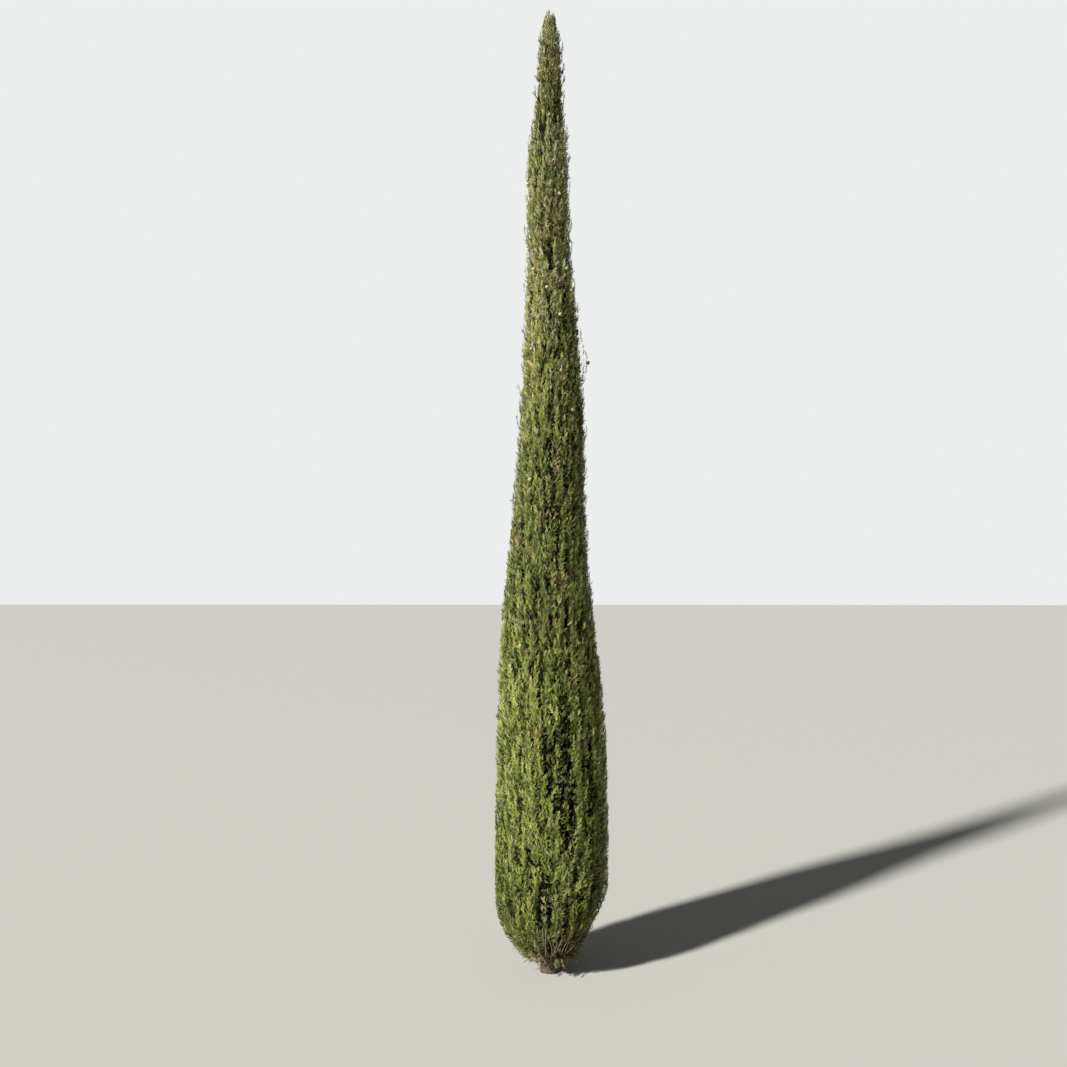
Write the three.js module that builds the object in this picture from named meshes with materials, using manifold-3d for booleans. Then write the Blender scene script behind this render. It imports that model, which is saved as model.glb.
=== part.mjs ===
// Columnar italian cypress, rooted in the ground: trunk, boughs and upright plumes of foliage.
// Millimetres, +Z up, +X to the right seen from the front, +Y to the back.
// The origin is the middle of the trunk's flat cut at ground level.
import * as THREE from "three";
import { mergeVertices } from "three/addons/utils/BufferGeometryUtils.js";
import Module from "manifold-3d";

const wasm = await Module();
wasm.setup();

const TREE_HEIGHT = 4000;

// Crown: height above ground and radius at each change of its outline
const CROWN_OUTLINE = [
  [450, 243],
  [900, 230],
  [1250, 215],
  [1750, 167],
  [2200, 144],
  [2650, 114],
  [2950, 94],
  [3400, 86],
  [3560, 60],
  [3850, 45],
  [3960, 24],
  [TREE_HEIGHT, 5],
];
const CROWN_FOOT = 40; // where the rounded foot of the crown begins
const CROWN_FOOT_TILT = 16; // the foot is this much higher on the +X side and lower on the other
const CROWN_FOOT_ROUND = 2.2; // exponent of the foot's rounding, 2 is an ellipse
const SWAY_X = 8; // the trunk's axis swings this far to either side
const SWAY_Y = 5;
const SWAY_WAVE_X = 1700; // length of one swing
const SWAY_WAVE_Y = 2300;
const SWAY_START = 275;
const SWAY_EASE = 500; // the swing grows from nothing at the ground over this height

// Trunk
const TRUNK_TOP = 3720; // its tip, where the green leader goes on
const TRUNK_FOOT_RADIUS = 34; // above the root flare
const TRUNK_TIP_RADIUS = 5;
const TRUNK_TAPER = 1.15; // over 1, it thins faster towards the tip
const FLARE_RADIUS = 11; // the root flare adds this at the ground
const FLARE_HEIGHT = 45; // and fades over about this height
const FLARE_LOBES = 5;
const FLARE_LOBE_DEPTH = 0.16;
const TRUNK_SIDES = 12;
const TRUNK_RINGS = [0, 20, 50, 100, 300, 700, 1150, 1600, 2050, 2500, 2950, 3350, TRUNK_TOP];

// Clearances
const SEAT_GAP = 0.3; // between a limb, or a stem of foliage, and what carries it
const WALL_GAP = 0.4; // each plume keeps this far from the surfaces that bound its space
const CORNER_TOLERANCE = 0.001; // corners of one shape this close are one corner
const SHORTEST_EDGE = 0.05; // corners closer than this are drawn together after joining

// Boughs and the stems of plumes
const BOUGH_SIDES = 6;
const BOUGH_TIP_SHARE = 0.6; // tip radius as a share of the foot radius
const BOUGH_ENTRY_REACH = 22; // a bough ends this far inside its plume
const BOUGH_ENTRY_RISE = 45; // and this far over the foot of its core
const STEM_SIDES = 6;
const STEM_TIP_SHARE = 0.8;
const STEM_RUN = 130; // a stem rises this far in its core
const STEM_LEAN = 30; // and leans out by this
const STEM_DROP = 110; // a stem that springs from the trunk starts this far under its entry
const STEM_OVERLAP = 22; // one that goes on from a bough starts this far back, and is cut clear

// Sprays. Pairs are the least and the most of a value that is drawn at random.
const SPRAY_SINK = 22; // a spray's root lies this deep in the core
const SPRAY_SIZES = [0.8, 1.2]; // shares of the stage's spray length
const SPRAY_WIDTH_SHARE = 0.27; // width as a share of the length
const SPRAY_KEEL_SHARE = 0.52; // height of its keel as a share of half the width
const SPRAY_NOTCH = 0.42; // width at a notch as a share of the width at a tooth
const SPRAY_SPREAD = 0.85; // roots stand this far to either side, in half sectors
const SPRAY_LEANS = [-0.125, 0.125]; // how far a tip leans sideways, in half sectors
const SPRAY_ROLLS = [-0.25, 0.25]; // how far a spray turns about its length, in radians
const SPRAY_TIP_SHARES = [0.95, 1.02]; // the tip's reach as a share of the crown's radius
const SPRAY_RISE = 0.94; // height of the tip over the root, as a share of the length
const SPRAY_BEND_LEAN = 0.3; // where a spray bends upright, as a share of its lean
const SPRAY_BEND_RISE = 0.22; // and of its length
const SPRAY_TOP_SHARE = 0.86; // the highest root, as a share of its plume's height
const SPRAY_STEP_SHARES = [0.2, 0.8]; // place of a root within its own step of that height
const SPRAY_TRIES = 5;
const TRY_SHRINK = 0.12; // each new try is this share shorter,
const TRY_INWARDS = 0.15; // this share nearer the middle of its plume
const TRY_DROP = 25; // and this much lower
const GOLDEN = 0.618034; // turns of the sector from one twig to the next

// Sprays that hang out from under the lowest plumes
const SKIRT_SPRAYS = 3;
const SKIRT_SPREAD = 0.65; // they stand this far to either side, in half sectors
const SKIRT_ROOT_RISE = 30; // their roots lie this far over the foot of the core
const SKIRT_RUN = 45; // and their tips this far outwards of the roots
const SKIRT_TIP_SHARES = [0.2, 0.9]; // height of a tip as a share of the core's lift
const SKIRT_BEND = 0.3; // where one bends down, as a share of its drop
const SKIRT_WIDTH = 46;

// Seed cones
const CONE_RADIUS = 13;
const CONE_PROUD = 0.35; // how far its middle stands out of the core, in radii
const CONE_SHARES = [0.15, 0.85]; // place in its plume's height
const CONE_SIDES = [-0.6, 0.6]; // and across its sector

// The core of a plume, in shares of the crown's radius
const CORE_REACH = 0.88; // in the middle of its sector
const CORE_SHOULDER_DROP = 0.15; // less at the sector's edges, which leaves a furrow between plumes
const CORE_WAIST = 0.5; // where a core with no fullness would end
const CORE_BACK = 1; // its back stands this far off the inner plane, in millimetres
const CORE_PASSES = 4; // times that a corner's height and radius are worked out from each other
const CORE_SIDES = [-0.92, -0.4, 0.4, 0.92]; // places across the sector
const CORE_RINGS = [
  // share of the height and fullness there
  [0.02, 0.9],
  [0.25, 1.0],
  [0.7, 0.98],
  [0.98, 0.72],
];
const CORE_FOOT_RING = [0.09, 0.99]; // one more where the crown's foot is rounded

// Green leader over the trunk's tip
const LEADER_TOP = 3985;
const LEADER_FOOT_RADIUS = 6;
const LEADER_TIP_RADIUS = 2;
const LEADER_SPRAYS = 13;
const LEADER_SPRAY_LENGTH = 120;
const LEADER_SPRAY_SIZES = [0.85, 1.15];
const LEADER_SPRAY_ROLLS = [-0.3, 0.3];
const LEADER_SPRAY_START = 10; // the lowest root's height over the trunk's tip
const LEADER_BEND_REACH = 0.8; // where a spray bends upright, as a share of the crown's radius
const LEADER_BEND_RISE = 0.4; // and of its length
const LEADER_TRY_RISE = 10; // each new try is this much higher

// Stages of the crown from the ground up. Boughs carry the lowest plumes, and a plume with none
// has its stem on the trunk.
const STAGES = [
  {
    name: "lower",
    sectors: 7,
    turn: 0.2,
    innerReach: 60,
    bottom: { height: 50, radius: 0, slope: 0 },
    lift: 52,
    boughs: [
      { footRadius: 11, drop: 105 },
      { footRadius: 10, drop: 240 },
    ],
    joints: [
      { height: 620, radius: 150, slope: 2.2, stagger: 85 },
      { height: 1180, radius: 140, slope: 2.4, stagger: 85 },
    ],
    top: { height: 1700, radius: 105, slope: 2.6 },
    sprays: 8,
    sprayLength: 200,
    stations: 3,
    stemRadius: 6,
    cones: 0,
  },
  {
    name: "middle",
    sectors: 5,
    turn: 0.75,
    innerReach: 31,
    boughs: [],
    joints: [{ height: 2300, radius: 85, slope: 3.2, stagger: 70 }],
    top: { height: 2880, radius: 55, slope: 3.6 },
    sprays: 8,
    sprayLength: 145,
    stations: 3,
    stemRadius: 5,
    cones: 2,
  },
  {
    name: "upper",
    sectors: 3,
    turn: 0.1,
    innerReach: 13,
    boughs: [],
    joints: [{ height: 3280, radius: 45, slope: 4, stagger: 45 }],
    top: { height: 3755, radius: 30, slope: 4.5 },
    sprays: 7,
    sprayLength: 115,
    stations: 3,
    stemRadius: 3.5,
    cones: 1,
  },
];

const SECTOR_JITTER = 0.13; // walls between sectors are this share of a sector off an even spacing
const SECTOR_BEAT = 2.4;
const LETTERS = "abcdefg"; // one for each sector of a stage
const FIRST_SEED = 11;
const SEED_STEP = 7;

// Colours
const BARK = { color: 0x6e5640, roughness: 0.9, metalness: 0 };
const FOLIAGE = { color: 0x59632f, roughness: 0.75, metalness: 0 };

// Repeatable random numbers from 0 to 1
function seededRandom(seed) {
  let state = seed;
  return () => {
    state = (state * 48271) % 2147483647;
    return state / 2147483647;
  };
}

// A random value between the least and the most
function drawn([least, most], random) {
  return least + (most - least) * random();
}

// The axis of trunk and crown at a height
function axisAt(z) {
  const ease = Math.min(1, z / SWAY_EASE);
  return new THREE.Vector2(
    SWAY_X * ease * Math.sin((2 * Math.PI * (z - SWAY_START)) / SWAY_WAVE_X),
    SWAY_Y * ease * Math.sin((2 * Math.PI * z) / SWAY_WAVE_Y),
  );
}

// The crown's radius at a height and, near the foot, an azimuth
function crownRadius(z, azimuth) {
  const [beltHeight, beltRadius] = CROWN_OUTLINE[0];
  if (z < beltHeight) {
    const foot = CROWN_FOOT + CROWN_FOOT_TILT * Math.cos(azimuth);
    const fall = Math.min(1, (beltHeight - z) / (beltHeight - foot));
    return beltRadius * (1 - fall ** CROWN_FOOT_ROUND) ** (1 / CROWN_FOOT_ROUND);
  }
  const next = CROWN_OUTLINE.findIndex(([height]) => height >= z);
  if (next < 0) return 0;
  if (next === 0) return beltRadius;
  const [lowHeight, lowRadius] = CROWN_OUTLINE[next - 1];
  const [highHeight, highRadius] = CROWN_OUTLINE[next];
  return THREE.MathUtils.mapLinear(z, lowHeight, highHeight, lowRadius, highRadius);
}

// The trunk's radius at a height, root flare included
function trunkRadius(z, azimuth) {
  const taper = (1 - z / TRUNK_TOP) ** TRUNK_TAPER;
  const stem = TRUNK_TIP_RADIUS + (TRUNK_FOOT_RADIUS - TRUNK_TIP_RADIUS) * taper;
  const lobes = 1 + FLARE_LOBE_DEPTH * Math.cos(FLARE_LOBES * azimuth);
  return stem + FLARE_RADIUS * lobes * Math.exp(-z / FLARE_HEIGHT);
}

// A closed solid through rings of points, each end drawn to a point
function ringSolid(rings, start, end) {
  const count = rings[0].length;
  const points = [start, ...rings.flat(), end];
  const last = points.length - 1;
  const index = [];
  for (let j = 0; j < count; j++) {
    const k = (j + 1) % count;
    index.push(0, 1 + k, 1 + j);
    for (let i = 0; i < rings.length - 1; i++) {
      const a = 1 + i * count;
      const b = a + count;
      index.push(a + j, a + k, b + k, a + j, b + k, b + j);
    }
    index.push(last, last - count + j, last - count + k);
  }
  return new THREE.BufferGeometry().setFromPoints(points).setIndex(index);
}

// A three.js shape with one vertex at each corner, still about its own origin
function sharedCorners(geometry) {
  geometry.deleteAttribute("normal");
  geometry.deleteAttribute("uv");
  return mergeVertices(geometry, CORNER_TOLERANCE);
}

// A geometry as a solid that can be joined and cut
function solidOf(geometry) {
  return new wasm.Manifold(
    new wasm.Mesh({
      numProp: 3,
      vertProperties: geometry.attributes.position.array,
      triVerts: new Uint32Array(geometry.index.array),
    }),
  );
}

// The faces left once one corner of a short edge has been drawn to the other, or null where no
// edge is short or drawing it together would pinch the surface
function facesWithoutOneShortEdge(corners, faces) {
  const neighbours = corners.map(() => new Set());
  for (const face of faces) {
    face.forEach((a, i) => neighbours[a].add(face[(i + 1) % 3]).add(face[(i + 2) % 3]));
  }
  for (const face of faces) {
    for (let i = 0; i < 3; i++) {
      const [kept, lost] = [face[i], face[(i + 1) % 3]];
      if (corners[kept].distanceTo(corners[lost]) >= SHORTEST_EDGE) continue;
      const shared = [...neighbours[kept]].filter((corner) => neighbours[lost].has(corner));
      if (shared.length !== 2) continue;
      return faces
        .map((old) => old.map((corner) => (corner === lost ? kept : corner)))
        .filter((moved) => new Set(moved).size === 3);
    }
  }
  return null;
}

// A solid as a geometry, without the very short edges that joining leaves
function geometryOf(solid) {
  const mesh = solid.getMesh();
  const position = new THREE.BufferAttribute(mesh.vertProperties, 3);
  const corners = Array.from({ length: position.count }, (_, i) =>
    new THREE.Vector3().fromBufferAttribute(position, i),
  );
  let faces = Array.from({ length: mesh.triVerts.length / 3 }, (_, i) => [
    ...mesh.triVerts.subarray(3 * i, 3 * i + 3),
  ]);
  for (let next = faces; next; next = facesWithoutOneShortEdge(corners, faces)) {
    faces = next;
  }
  return new THREE.BufferGeometry().setAttribute("position", position).setIndex(faces.flat());
}

// The largest body of a solid, its sealed hollows filled and its loose scraps dropped
function largestBody(solid) {
  const bodies = solid.decompose();
  return bodies.reduce((best, body) => (body.volume() > best.volume() ? body : best));
}

function joined(solids) {
  return solids.reduce((whole, solid) => whole.add(solid));
}

function namedMesh(name, geometry, finish) {
  const mesh = new THREE.Mesh(geometry, new THREE.MeshStandardMaterial(finish));
  mesh.name = name;
  return mesh;
}

// A shaft along the tree's axis through level rings, its ends drawn out by a margin
function shaftGeometry(heights, sides, radiusAt, margin = 0) {
  const rings = heights.map((z) => {
    const centre = axisAt(z);
    return Array.from({ length: sides }, (_, j) => {
      const azimuth = (2 * Math.PI * j) / sides;
      const radius = radiusAt(z, azimuth) + margin;
      return new THREE.Vector3(
        centre.x + radius * Math.cos(azimuth),
        centre.y + radius * Math.sin(azimuth),
        z,
      );
    });
  });
  const [foot, tip] = [heights[0], heights.at(-1)];
  const [footAxis, tipAxis] = [axisAt(foot), axisAt(tip)];
  return ringSolid(
    rings,
    new THREE.Vector3(footAxis.x, footAxis.y, foot - margin),
    new THREE.Vector3(tipAxis.x, tipAxis.y, tip + margin),
  );
}

// The trunk's surface, grown outwards by a margin where a neighbour is cut clear of it
function trunkGeometry(margin = 0) {
  return shaftGeometry(TRUNK_RINGS, TRUNK_SIDES, trunkRadius, margin);
}

// A straight tapering limb between two points
function limbGeometry(from, to, footRadius, tipRadius, sides) {
  const along = new THREE.Vector3().subVectors(to, from);
  const limb = sharedCorners(
    new THREE.CylinderGeometry(tipRadius, footRadius, along.length(), sides),
  );
  const turn = new THREE.Quaternion().setFromUnitVectors(
    new THREE.Vector3(0, 1, 0),
    along.clone().normalize(),
  );
  limb.applyQuaternion(turn);
  const middle = new THREE.Vector3().addVectors(from, to).multiplyScalar(0.5);
  return limb.translate(middle.x, middle.y, middle.z);
}

// A sloping surface between a plume and the one above it, rising outwards
class Joint {
  constructor({ height, radius, slope }) {
    Object.assign(this, { height, radius, slope, centre: axisAt(height) });
  }
  // Height of the cone over a point
  cone(x, y) {
    const out = Math.hypot(x - this.centre.x, y - this.centre.y);
    return this.height + this.slope * (out - this.radius);
  }
  // Height of the plane that touches the cone along one azimuth, which is nowhere over the cone
  plane(x, y, azimuth) {
    const out =
      (x - this.centre.x) * Math.cos(azimuth) + (y - this.centre.y) * Math.sin(azimuth);
    return this.height + this.slope * (out - this.radius);
  }
}

// The space that one plume keeps to: a sector between an inner plane and two side walls, over
// the joint below it and under the joint above it
class PlumeSpace {
  constructor({ centre, azimuth, halfAngle, innerReach, below, above, lift = 0 }) {
    Object.assign(this, { centre, azimuth, halfAngle, innerReach, below, above, lift });
    this.clearUnder = WALL_GAP * Math.hypot(1, below.slope);
    this.clearOver = WALL_GAP * Math.hypot(1, above.slope);
  }
  // A point from its place across the sector, -1 at one wall and 1 at the other, its distance
  // from the axis and its height
  point(side, radius, z) {
    const azimuth = this.azimuth + side * this.halfAngle;
    return new THREE.Vector3(
      this.centre.x + radius * Math.cos(azimuth),
      this.centre.y + radius * Math.sin(azimuth),
      z,
    );
  }
  bottomAt(x, y) {
    return this.below.cone(x, y) + this.clearUnder;
  }
  topAt(x, y) {
    return this.above.plane(x, y, this.azimuth) - this.clearOver;
  }
  // Height at a share of the way from the core's foot to the top of the space
  heightAt({ x, y }, share) {
    const foot = this.bottomAt(x, y) + this.lift;
    return foot + share * (this.topAt(x, y) - foot);
  }
  // The crown's radius at a height, from this space's centre
  reach(side, z) {
    const azimuth = this.azimuth + side * this.halfAngle;
    const axis = axisAt(z);
    const outwards = new THREE.Vector2(Math.cos(azimuth), Math.sin(azimuth));
    return crownRadius(z, azimuth) + axis.sub(this.centre).dot(outwards);
  }
  coreRadius(side, z) {
    return this.reach(side, z) * (CORE_REACH - CORE_SHOULDER_DROP * side * side);
  }
  rootRadius(side, z) {
    return this.coreRadius(side, z) - SPRAY_SINK;
  }
  holds(point) {
    const x = point.x - this.centre.x;
    const y = point.y - this.centre.y;
    const out = x * Math.cos(this.azimuth) + y * Math.sin(this.azimuth);
    const across = Math.abs(y * Math.cos(this.azimuth) - x * Math.sin(this.azimuth));
    const toWall = out * Math.sin(this.halfAngle) - across * Math.cos(this.halfAngle);
    if (out < this.innerReach || toWall < WALL_GAP) return false;
    return point.z > this.bottomAt(point.x, point.y) && point.z < this.topAt(point.x, point.y);
  }
}

// The space round the green leader, which takes in the whole circle
class LeaderSpace extends PlumeSpace {
  rootRadius() {
    return LEADER_TIP_RADIUS;
  }
  holds(point) {
    return point.z > this.bottomAt(point.x, point.y);
  }
}

// The dense core of a plume: rings that follow the joints under and over it
function coreGeometry(space) {
  const place = (side, share, radiusAt) => {
    let z = space.above.height;
    for (let pass = 0; pass < CORE_PASSES; pass++) {
      z = space.heightAt(space.point(side, radiusAt(z), 0), share);
    }
    return space.point(side, radiusAt(z), z);
  };
  const levels = [...CORE_RINGS];
  if (space.lift) levels.splice(1, 0, CORE_FOOT_RING);
  const rings = levels.map(([share, fullness]) => {
    const outer = CORE_SIDES.map((side) =>
      place(side * fullness, share, (z) =>
        THREE.MathUtils.lerp(
          CORE_WAIST * space.reach(side, z),
          space.coreRadius(side, z),
          fullness,
        ),
      ),
    );
    const [first, last] = [CORE_SIDES[0], CORE_SIDES.at(-1)];
    const inner = [last, first].map((side) =>
      place(side, share, () => (space.innerReach + CORE_BACK) / Math.cos(side * space.halfAngle)),
    );
    return [...outer, ...inner];
  });
  const middleOf = (ring) =>
    ring.reduce((sum, corner) => sum.add(corner), new THREE.Vector3()).divideScalar(ring.length);
  return ringSolid(rings, middleOf(rings[0]), middleOf(rings.at(-1)));
}

// A toothed blade with a keel along a curve, its teeth left and right by turns
function bladeRings(curve, across, width, stations) {
  return Array.from({ length: stations }, (_, i) => {
    const t = (i + 1) / (stations + 1);
    const along = curve.getTangent(t);
    const side = across.clone().addScaledVector(along, -across.dot(along)).normalize();
    const keel = new THREE.Vector3().crossVectors(along, side);
    const full = 0.5 * width * Math.sin(Math.PI * t);
    const [left, right] = i % 2 ? [SPRAY_NOTCH * full, full] : [full, SPRAY_NOTCH * full];
    const centre = curve.getPoint(t);
    return [
      centre.clone().addScaledVector(side, left),
      centre.clone().addScaledVector(keel, SPRAY_KEEL_SHARE * full),
      centre.clone().addScaledVector(side, -right),
    ];
  });
}

// A blade from a root, out to a bend and on to its tip, or null where it would leave the space
function bladeGeometry(space, [root, bend, tip], roll, width, stations) {
  const curve = new THREE.QuadraticBezierCurve3(root, bend, tip);
  const azimuth = Math.atan2(tip.y - space.centre.y, tip.x - space.centre.x) + roll;
  const across = new THREE.Vector3(-Math.sin(azimuth), Math.cos(azimuth), 0);
  const rings = bladeRings(curve, across, width, stations);
  const inside = [...rings.flat(), tip].every((corner) => space.holds(corner));
  return inside ? ringSolid(rings, root, tip) : null;
}

// An upright spray that stands out of a plume's core. Each new try is smaller and stands
// nearer the middle of the plume.
function sprayGeometry(space, { sprayLength, stations }, share, side, random) {
  const length = sprayLength * drawn(SPRAY_SIZES, random);
  const lean = drawn(SPRAY_LEANS, random);
  const roll = drawn(SPRAY_ROLLS, random);
  const tipShare = drawn(SPRAY_TIP_SHARES, random);
  for (let attempt = 0; attempt < SPRAY_TRIES; attempt++) {
    const size = length * (1 - TRY_SHRINK * attempt);
    const place = side * (1 - TRY_INWARDS * attempt);
    const belt = space.point(place, space.coreRadius(place, space.above.height), 0);
    const z = space.heightAt(belt, share) - TRY_DROP * attempt;
    const tipHeight = z + SPRAY_RISE * size;
    const tipRadius = space.reach(place, tipHeight) * tipShare;
    const path = [
      space.point(place, space.rootRadius(place, z), z),
      space.point(place + SPRAY_BEND_LEAN * lean, tipRadius, z + SPRAY_BEND_RISE * size),
      space.point(place + lean, tipRadius, tipHeight),
    ];
    const blade = bladeGeometry(space, path, roll, SPRAY_WIDTH_SHARE * size, stations);
    if (blade) return blade;
  }
  return null;
}

// A spray that hangs out from under one of the lowest plumes
function skirtGeometry(space, { stations }, side, random) {
  const z = space.below.height + space.lift + SKIRT_ROOT_RISE;
  const tipHeight = space.below.height + drawn(SKIRT_TIP_SHARES, random) * space.lift;
  const tipRadius = space.reach(side, tipHeight);
  const path = [
    space.point(side, tipRadius - SKIRT_RUN, z),
    space.point(side, tipRadius, z - SKIRT_BEND * (z - tipHeight)),
    space.point(side, tipRadius, tipHeight),
  ];
  return bladeGeometry(space, path, 0, SKIRT_WIDTH, stations);
}

// A seed cone on the surface of a core
function coneGeometry(space, share, side) {
  const belt = space.point(side, space.coreRadius(side, space.above.height), 0);
  const z = space.heightAt(belt, share);
  const at = space.point(side, space.coreRadius(side, z) + CONE_PROUD * CONE_RADIUS, z);
  const cone = sharedCorners(new THREE.IcosahedronGeometry(CONE_RADIUS, 0));
  return cone.translate(at.x, at.y, at.z);
}

// A plume of foliage: a stem, a dense core, and sprays and seed cones fused on
function plumeSolid(space, stage, stem, seed) {
  const random = seededRandom(seed);
  const pieces = [coreGeometry(space), stem];
  const phase = random();
  for (let i = 0; i < stage.sprays; i++) {
    const share = (SPRAY_TOP_SHARE * (i + drawn(SPRAY_STEP_SHARES, random))) / stage.sprays;
    const side = SPRAY_SPREAD * (2 * ((phase + i * GOLDEN) % 1) - 1);
    pieces.push(sprayGeometry(space, stage, share, side, random));
  }
  for (let i = 0; space.lift && i < SKIRT_SPRAYS; i++) {
    const side = SKIRT_SPREAD * ((2 * (i + 0.5)) / SKIRT_SPRAYS - 1);
    pieces.push(skirtGeometry(space, stage, side, random));
  }
  for (let i = 0; i < stage.cones; i++) {
    const share = drawn(CONE_SHARES, random);
    pieces.push(coneGeometry(space, share, drawn(CONE_SIDES, random)));
  }
  return joined(pieces.filter((piece) => piece).map(solidOf));
}

// One spray of the leader, a little higher up at each new try
function leaderSpray(space, z, side, random) {
  const size = LEADER_SPRAY_LENGTH * drawn(LEADER_SPRAY_SIZES, random);
  const roll = drawn(LEADER_SPRAY_ROLLS, random);
  const { stations } = STAGES.at(-1);
  for (let attempt = 0; attempt < SPRAY_TRIES; attempt++) {
    const root = z + LEADER_TRY_RISE * attempt;
    const bend = root + LEADER_BEND_RISE * size;
    const tipHeight = Math.min(root + size, TREE_HEIGHT);
    const path = [
      space.point(side, space.rootRadius(), root),
      space.point(side, LEADER_BEND_REACH * space.reach(side, bend), bend),
      space.point(side, space.reach(side, tipHeight), tipHeight),
    ];
    const blade = bladeGeometry(space, path, roll, SPRAY_WIDTH_SHARE * size, stations);
    if (blade) return blade;
  }
  return null;
}

// The leader: a thin shoot on the trunk's tip with sprays all round it
function leaderSolid(seed) {
  const random = seededRandom(seed);
  const space = new LeaderSpace({
    centre: axisAt(TRUNK_TOP),
    azimuth: 0,
    halfAngle: Math.PI,
    innerReach: 0,
    below: new Joint(STAGES.at(-1).top),
    above: new Joint({ height: LEADER_TOP, radius: 0, slope: 0 }),
  });
  const foot = TRUNK_TOP + SEAT_GAP;
  const radiusAt = (z) =>
    THREE.MathUtils.mapLinear(z, foot, LEADER_TOP, LEADER_FOOT_RADIUS, LEADER_TIP_RADIUS);
  const pieces = [shaftGeometry([foot, LEADER_TOP], STEM_SIDES, radiusAt)];
  const run = LEADER_TOP - TRUNK_TOP - LEADER_SPRAY_LENGTH;
  for (let i = 0; i < LEADER_SPRAYS; i++) {
    const z = TRUNK_TOP + LEADER_SPRAY_START + (run * i) / (LEADER_SPRAYS - 1);
    const side = 2 * ((i * GOLDEN) % 1) - 1;
    pieces.push(leaderSpray(space, z, side, random));
  }
  return joined(pieces.filter((piece) => piece).map(solidOf));
}

// The sectors of a stage: the azimuth of each one's middle and half its angle. Their widths
// differ a little, as no two plumes are alike.
function sectorsOf(stage) {
  const pitch = (2 * Math.PI) / stage.sectors;
  const wallAt = (k) => {
    const jitter = SECTOR_JITTER * Math.sin(SECTOR_BEAT * (k % stage.sectors));
    return stage.turn + pitch * (k + jitter);
  };
  return Array.from({ length: stage.sectors }, (_, k) => {
    const [from, to] = [wallAt(k), wallAt(k + 1)];
    return { azimuth: (from + to) / 2, halfAngle: (to - from) / 2 };
  });
}

// Every plume's stage, tier, letter and space, from the ground up. The joints of neighbouring
// sectors are staggered up and down by turns.
function plumePlaces() {
  return STAGES.flatMap((stage, stageIndex) => {
    const first = new Joint(stageIndex === 0 ? stage.bottom : STAGES[stageIndex - 1].top);
    const last = new Joint(stage.top);
    const centre = axisAt((first.height + last.height) / 2);
    return sectorsOf(stage).flatMap((sector, k) => {
      const turnAbout = k % 2 ? 1 : -1;
      const between = stage.joints.map(
        (joint) => new Joint({ ...joint, height: joint.height + turnAbout * joint.stagger }),
      );
      const edges = [first, ...between, last];
      return edges.slice(1).map((above, tier) => {
        const lift = stageIndex === 0 && tier === 0 ? stage.lift : 0;
        const below = edges[tier];
        const { innerReach } = stage;
        const space = new PlumeSpace({ centre, ...sector, innerReach, below, above, lift });
        return { stage, tier, letter: LETTERS[k], space };
      });
    });
  });
}

// A bough from the trunk's axis to its entry into a plume
class Bough {
  constructor({ footRadius, drop }, entry) {
    this.entry = entry;
    this.root = onAxis(entry.z - drop);
    this.along = new THREE.Vector3().subVectors(entry, this.root).normalize();
    this.footRadius = footRadius;
    this.tipRadius = BOUGH_TIP_SHARE * footRadius;
  }
  // Its surface, grown outwards by a margin where a plume is cut clear of it
  geometry(margin = 0) {
    const tip = this.entry.clone().addScaledVector(this.along, margin);
    const [footRadius, tipRadius] = [this.footRadius + margin, this.tipRadius + margin];
    return limbGeometry(this.root, tip, footRadius, tipRadius, BOUGH_SIDES);
  }
  stemFoot() {
    return this.entry.clone().addScaledVector(this.along, -STEM_OVERLAP);
  }
}

function onAxis(z) {
  const { x, y } = axisAt(z);
  return new THREE.Vector3(x, y, z);
}

// A plume's stem, from its foot to a point well inside the core
function stemGeometry(space, { stemRadius }, foot, entry) {
  const tipReach = space.innerReach + BOUGH_ENTRY_REACH + STEM_LEAN;
  const tip = space.point(0, tipReach, entry.z + STEM_RUN);
  return limbGeometry(foot, tip, stemRadius, STEM_TIP_SHARE * stemRadius, STEM_SIDES);
}

const tree = new THREE.Group();
tree.add(namedMesh("trunk", trunkGeometry(), BARK));
const trunkClearance = solidOf(trunkGeometry(SEAT_GAP));

let seed = FIRST_SEED;
for (const { stage, tier, letter, space } of plumePlaces()) {
  seed += SEED_STEP;
  const entry = space.point(0, space.innerReach + BOUGH_ENTRY_REACH, 0);
  entry.z = space.heightAt(entry, 0) + BOUGH_ENTRY_RISE;
  let stemFoot = onAxis(entry.z - STEM_DROP);
  let clearance = trunkClearance;
  const boughSizes = stage.boughs[tier];
  if (boughSizes) {
    const bough = new Bough(boughSizes, entry);
    const limb = largestBody(solidOf(bough.geometry()).subtract(trunkClearance));
    tree.add(namedMesh(`bough_${tier + 1}_${letter}`, geometryOf(limb), BARK));
    stemFoot = bough.stemFoot();
    clearance = clearance.add(solidOf(bough.geometry(SEAT_GAP)));
  }
  const stem = stemGeometry(space, stage, stemFoot, entry);
  const plume = largestBody(plumeSolid(space, stage, stem, seed).subtract(clearance));
  const name = `foliage_${stage.name}_${tier + 1}_${letter}`;
  tree.add(namedMesh(name, geometryOf(plume), FOLIAGE));
}

const leader = largestBody(leaderSolid(seed + SEED_STEP).subtract(trunkClearance));
tree.add(namedMesh("foliage_leader", geometryOf(leader), FOLIAGE));

export default tree;
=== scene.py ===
"""A slim italian cypress, rooted in the ground, dressed for its portrait.

Trunk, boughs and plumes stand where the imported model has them. Each plume is grown here by the
rule of its solid, from the same seed and in the same space, and carried on to finer shoots,
twigs and sprays of scale leaves. Metres, +Z up, +X to the right seen from the front, +Y to the
back, with the origin in the middle of the trunk's cut at ground level.
"""

import logging
import math
from dataclasses import dataclass, replace
from enum import Enum

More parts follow.
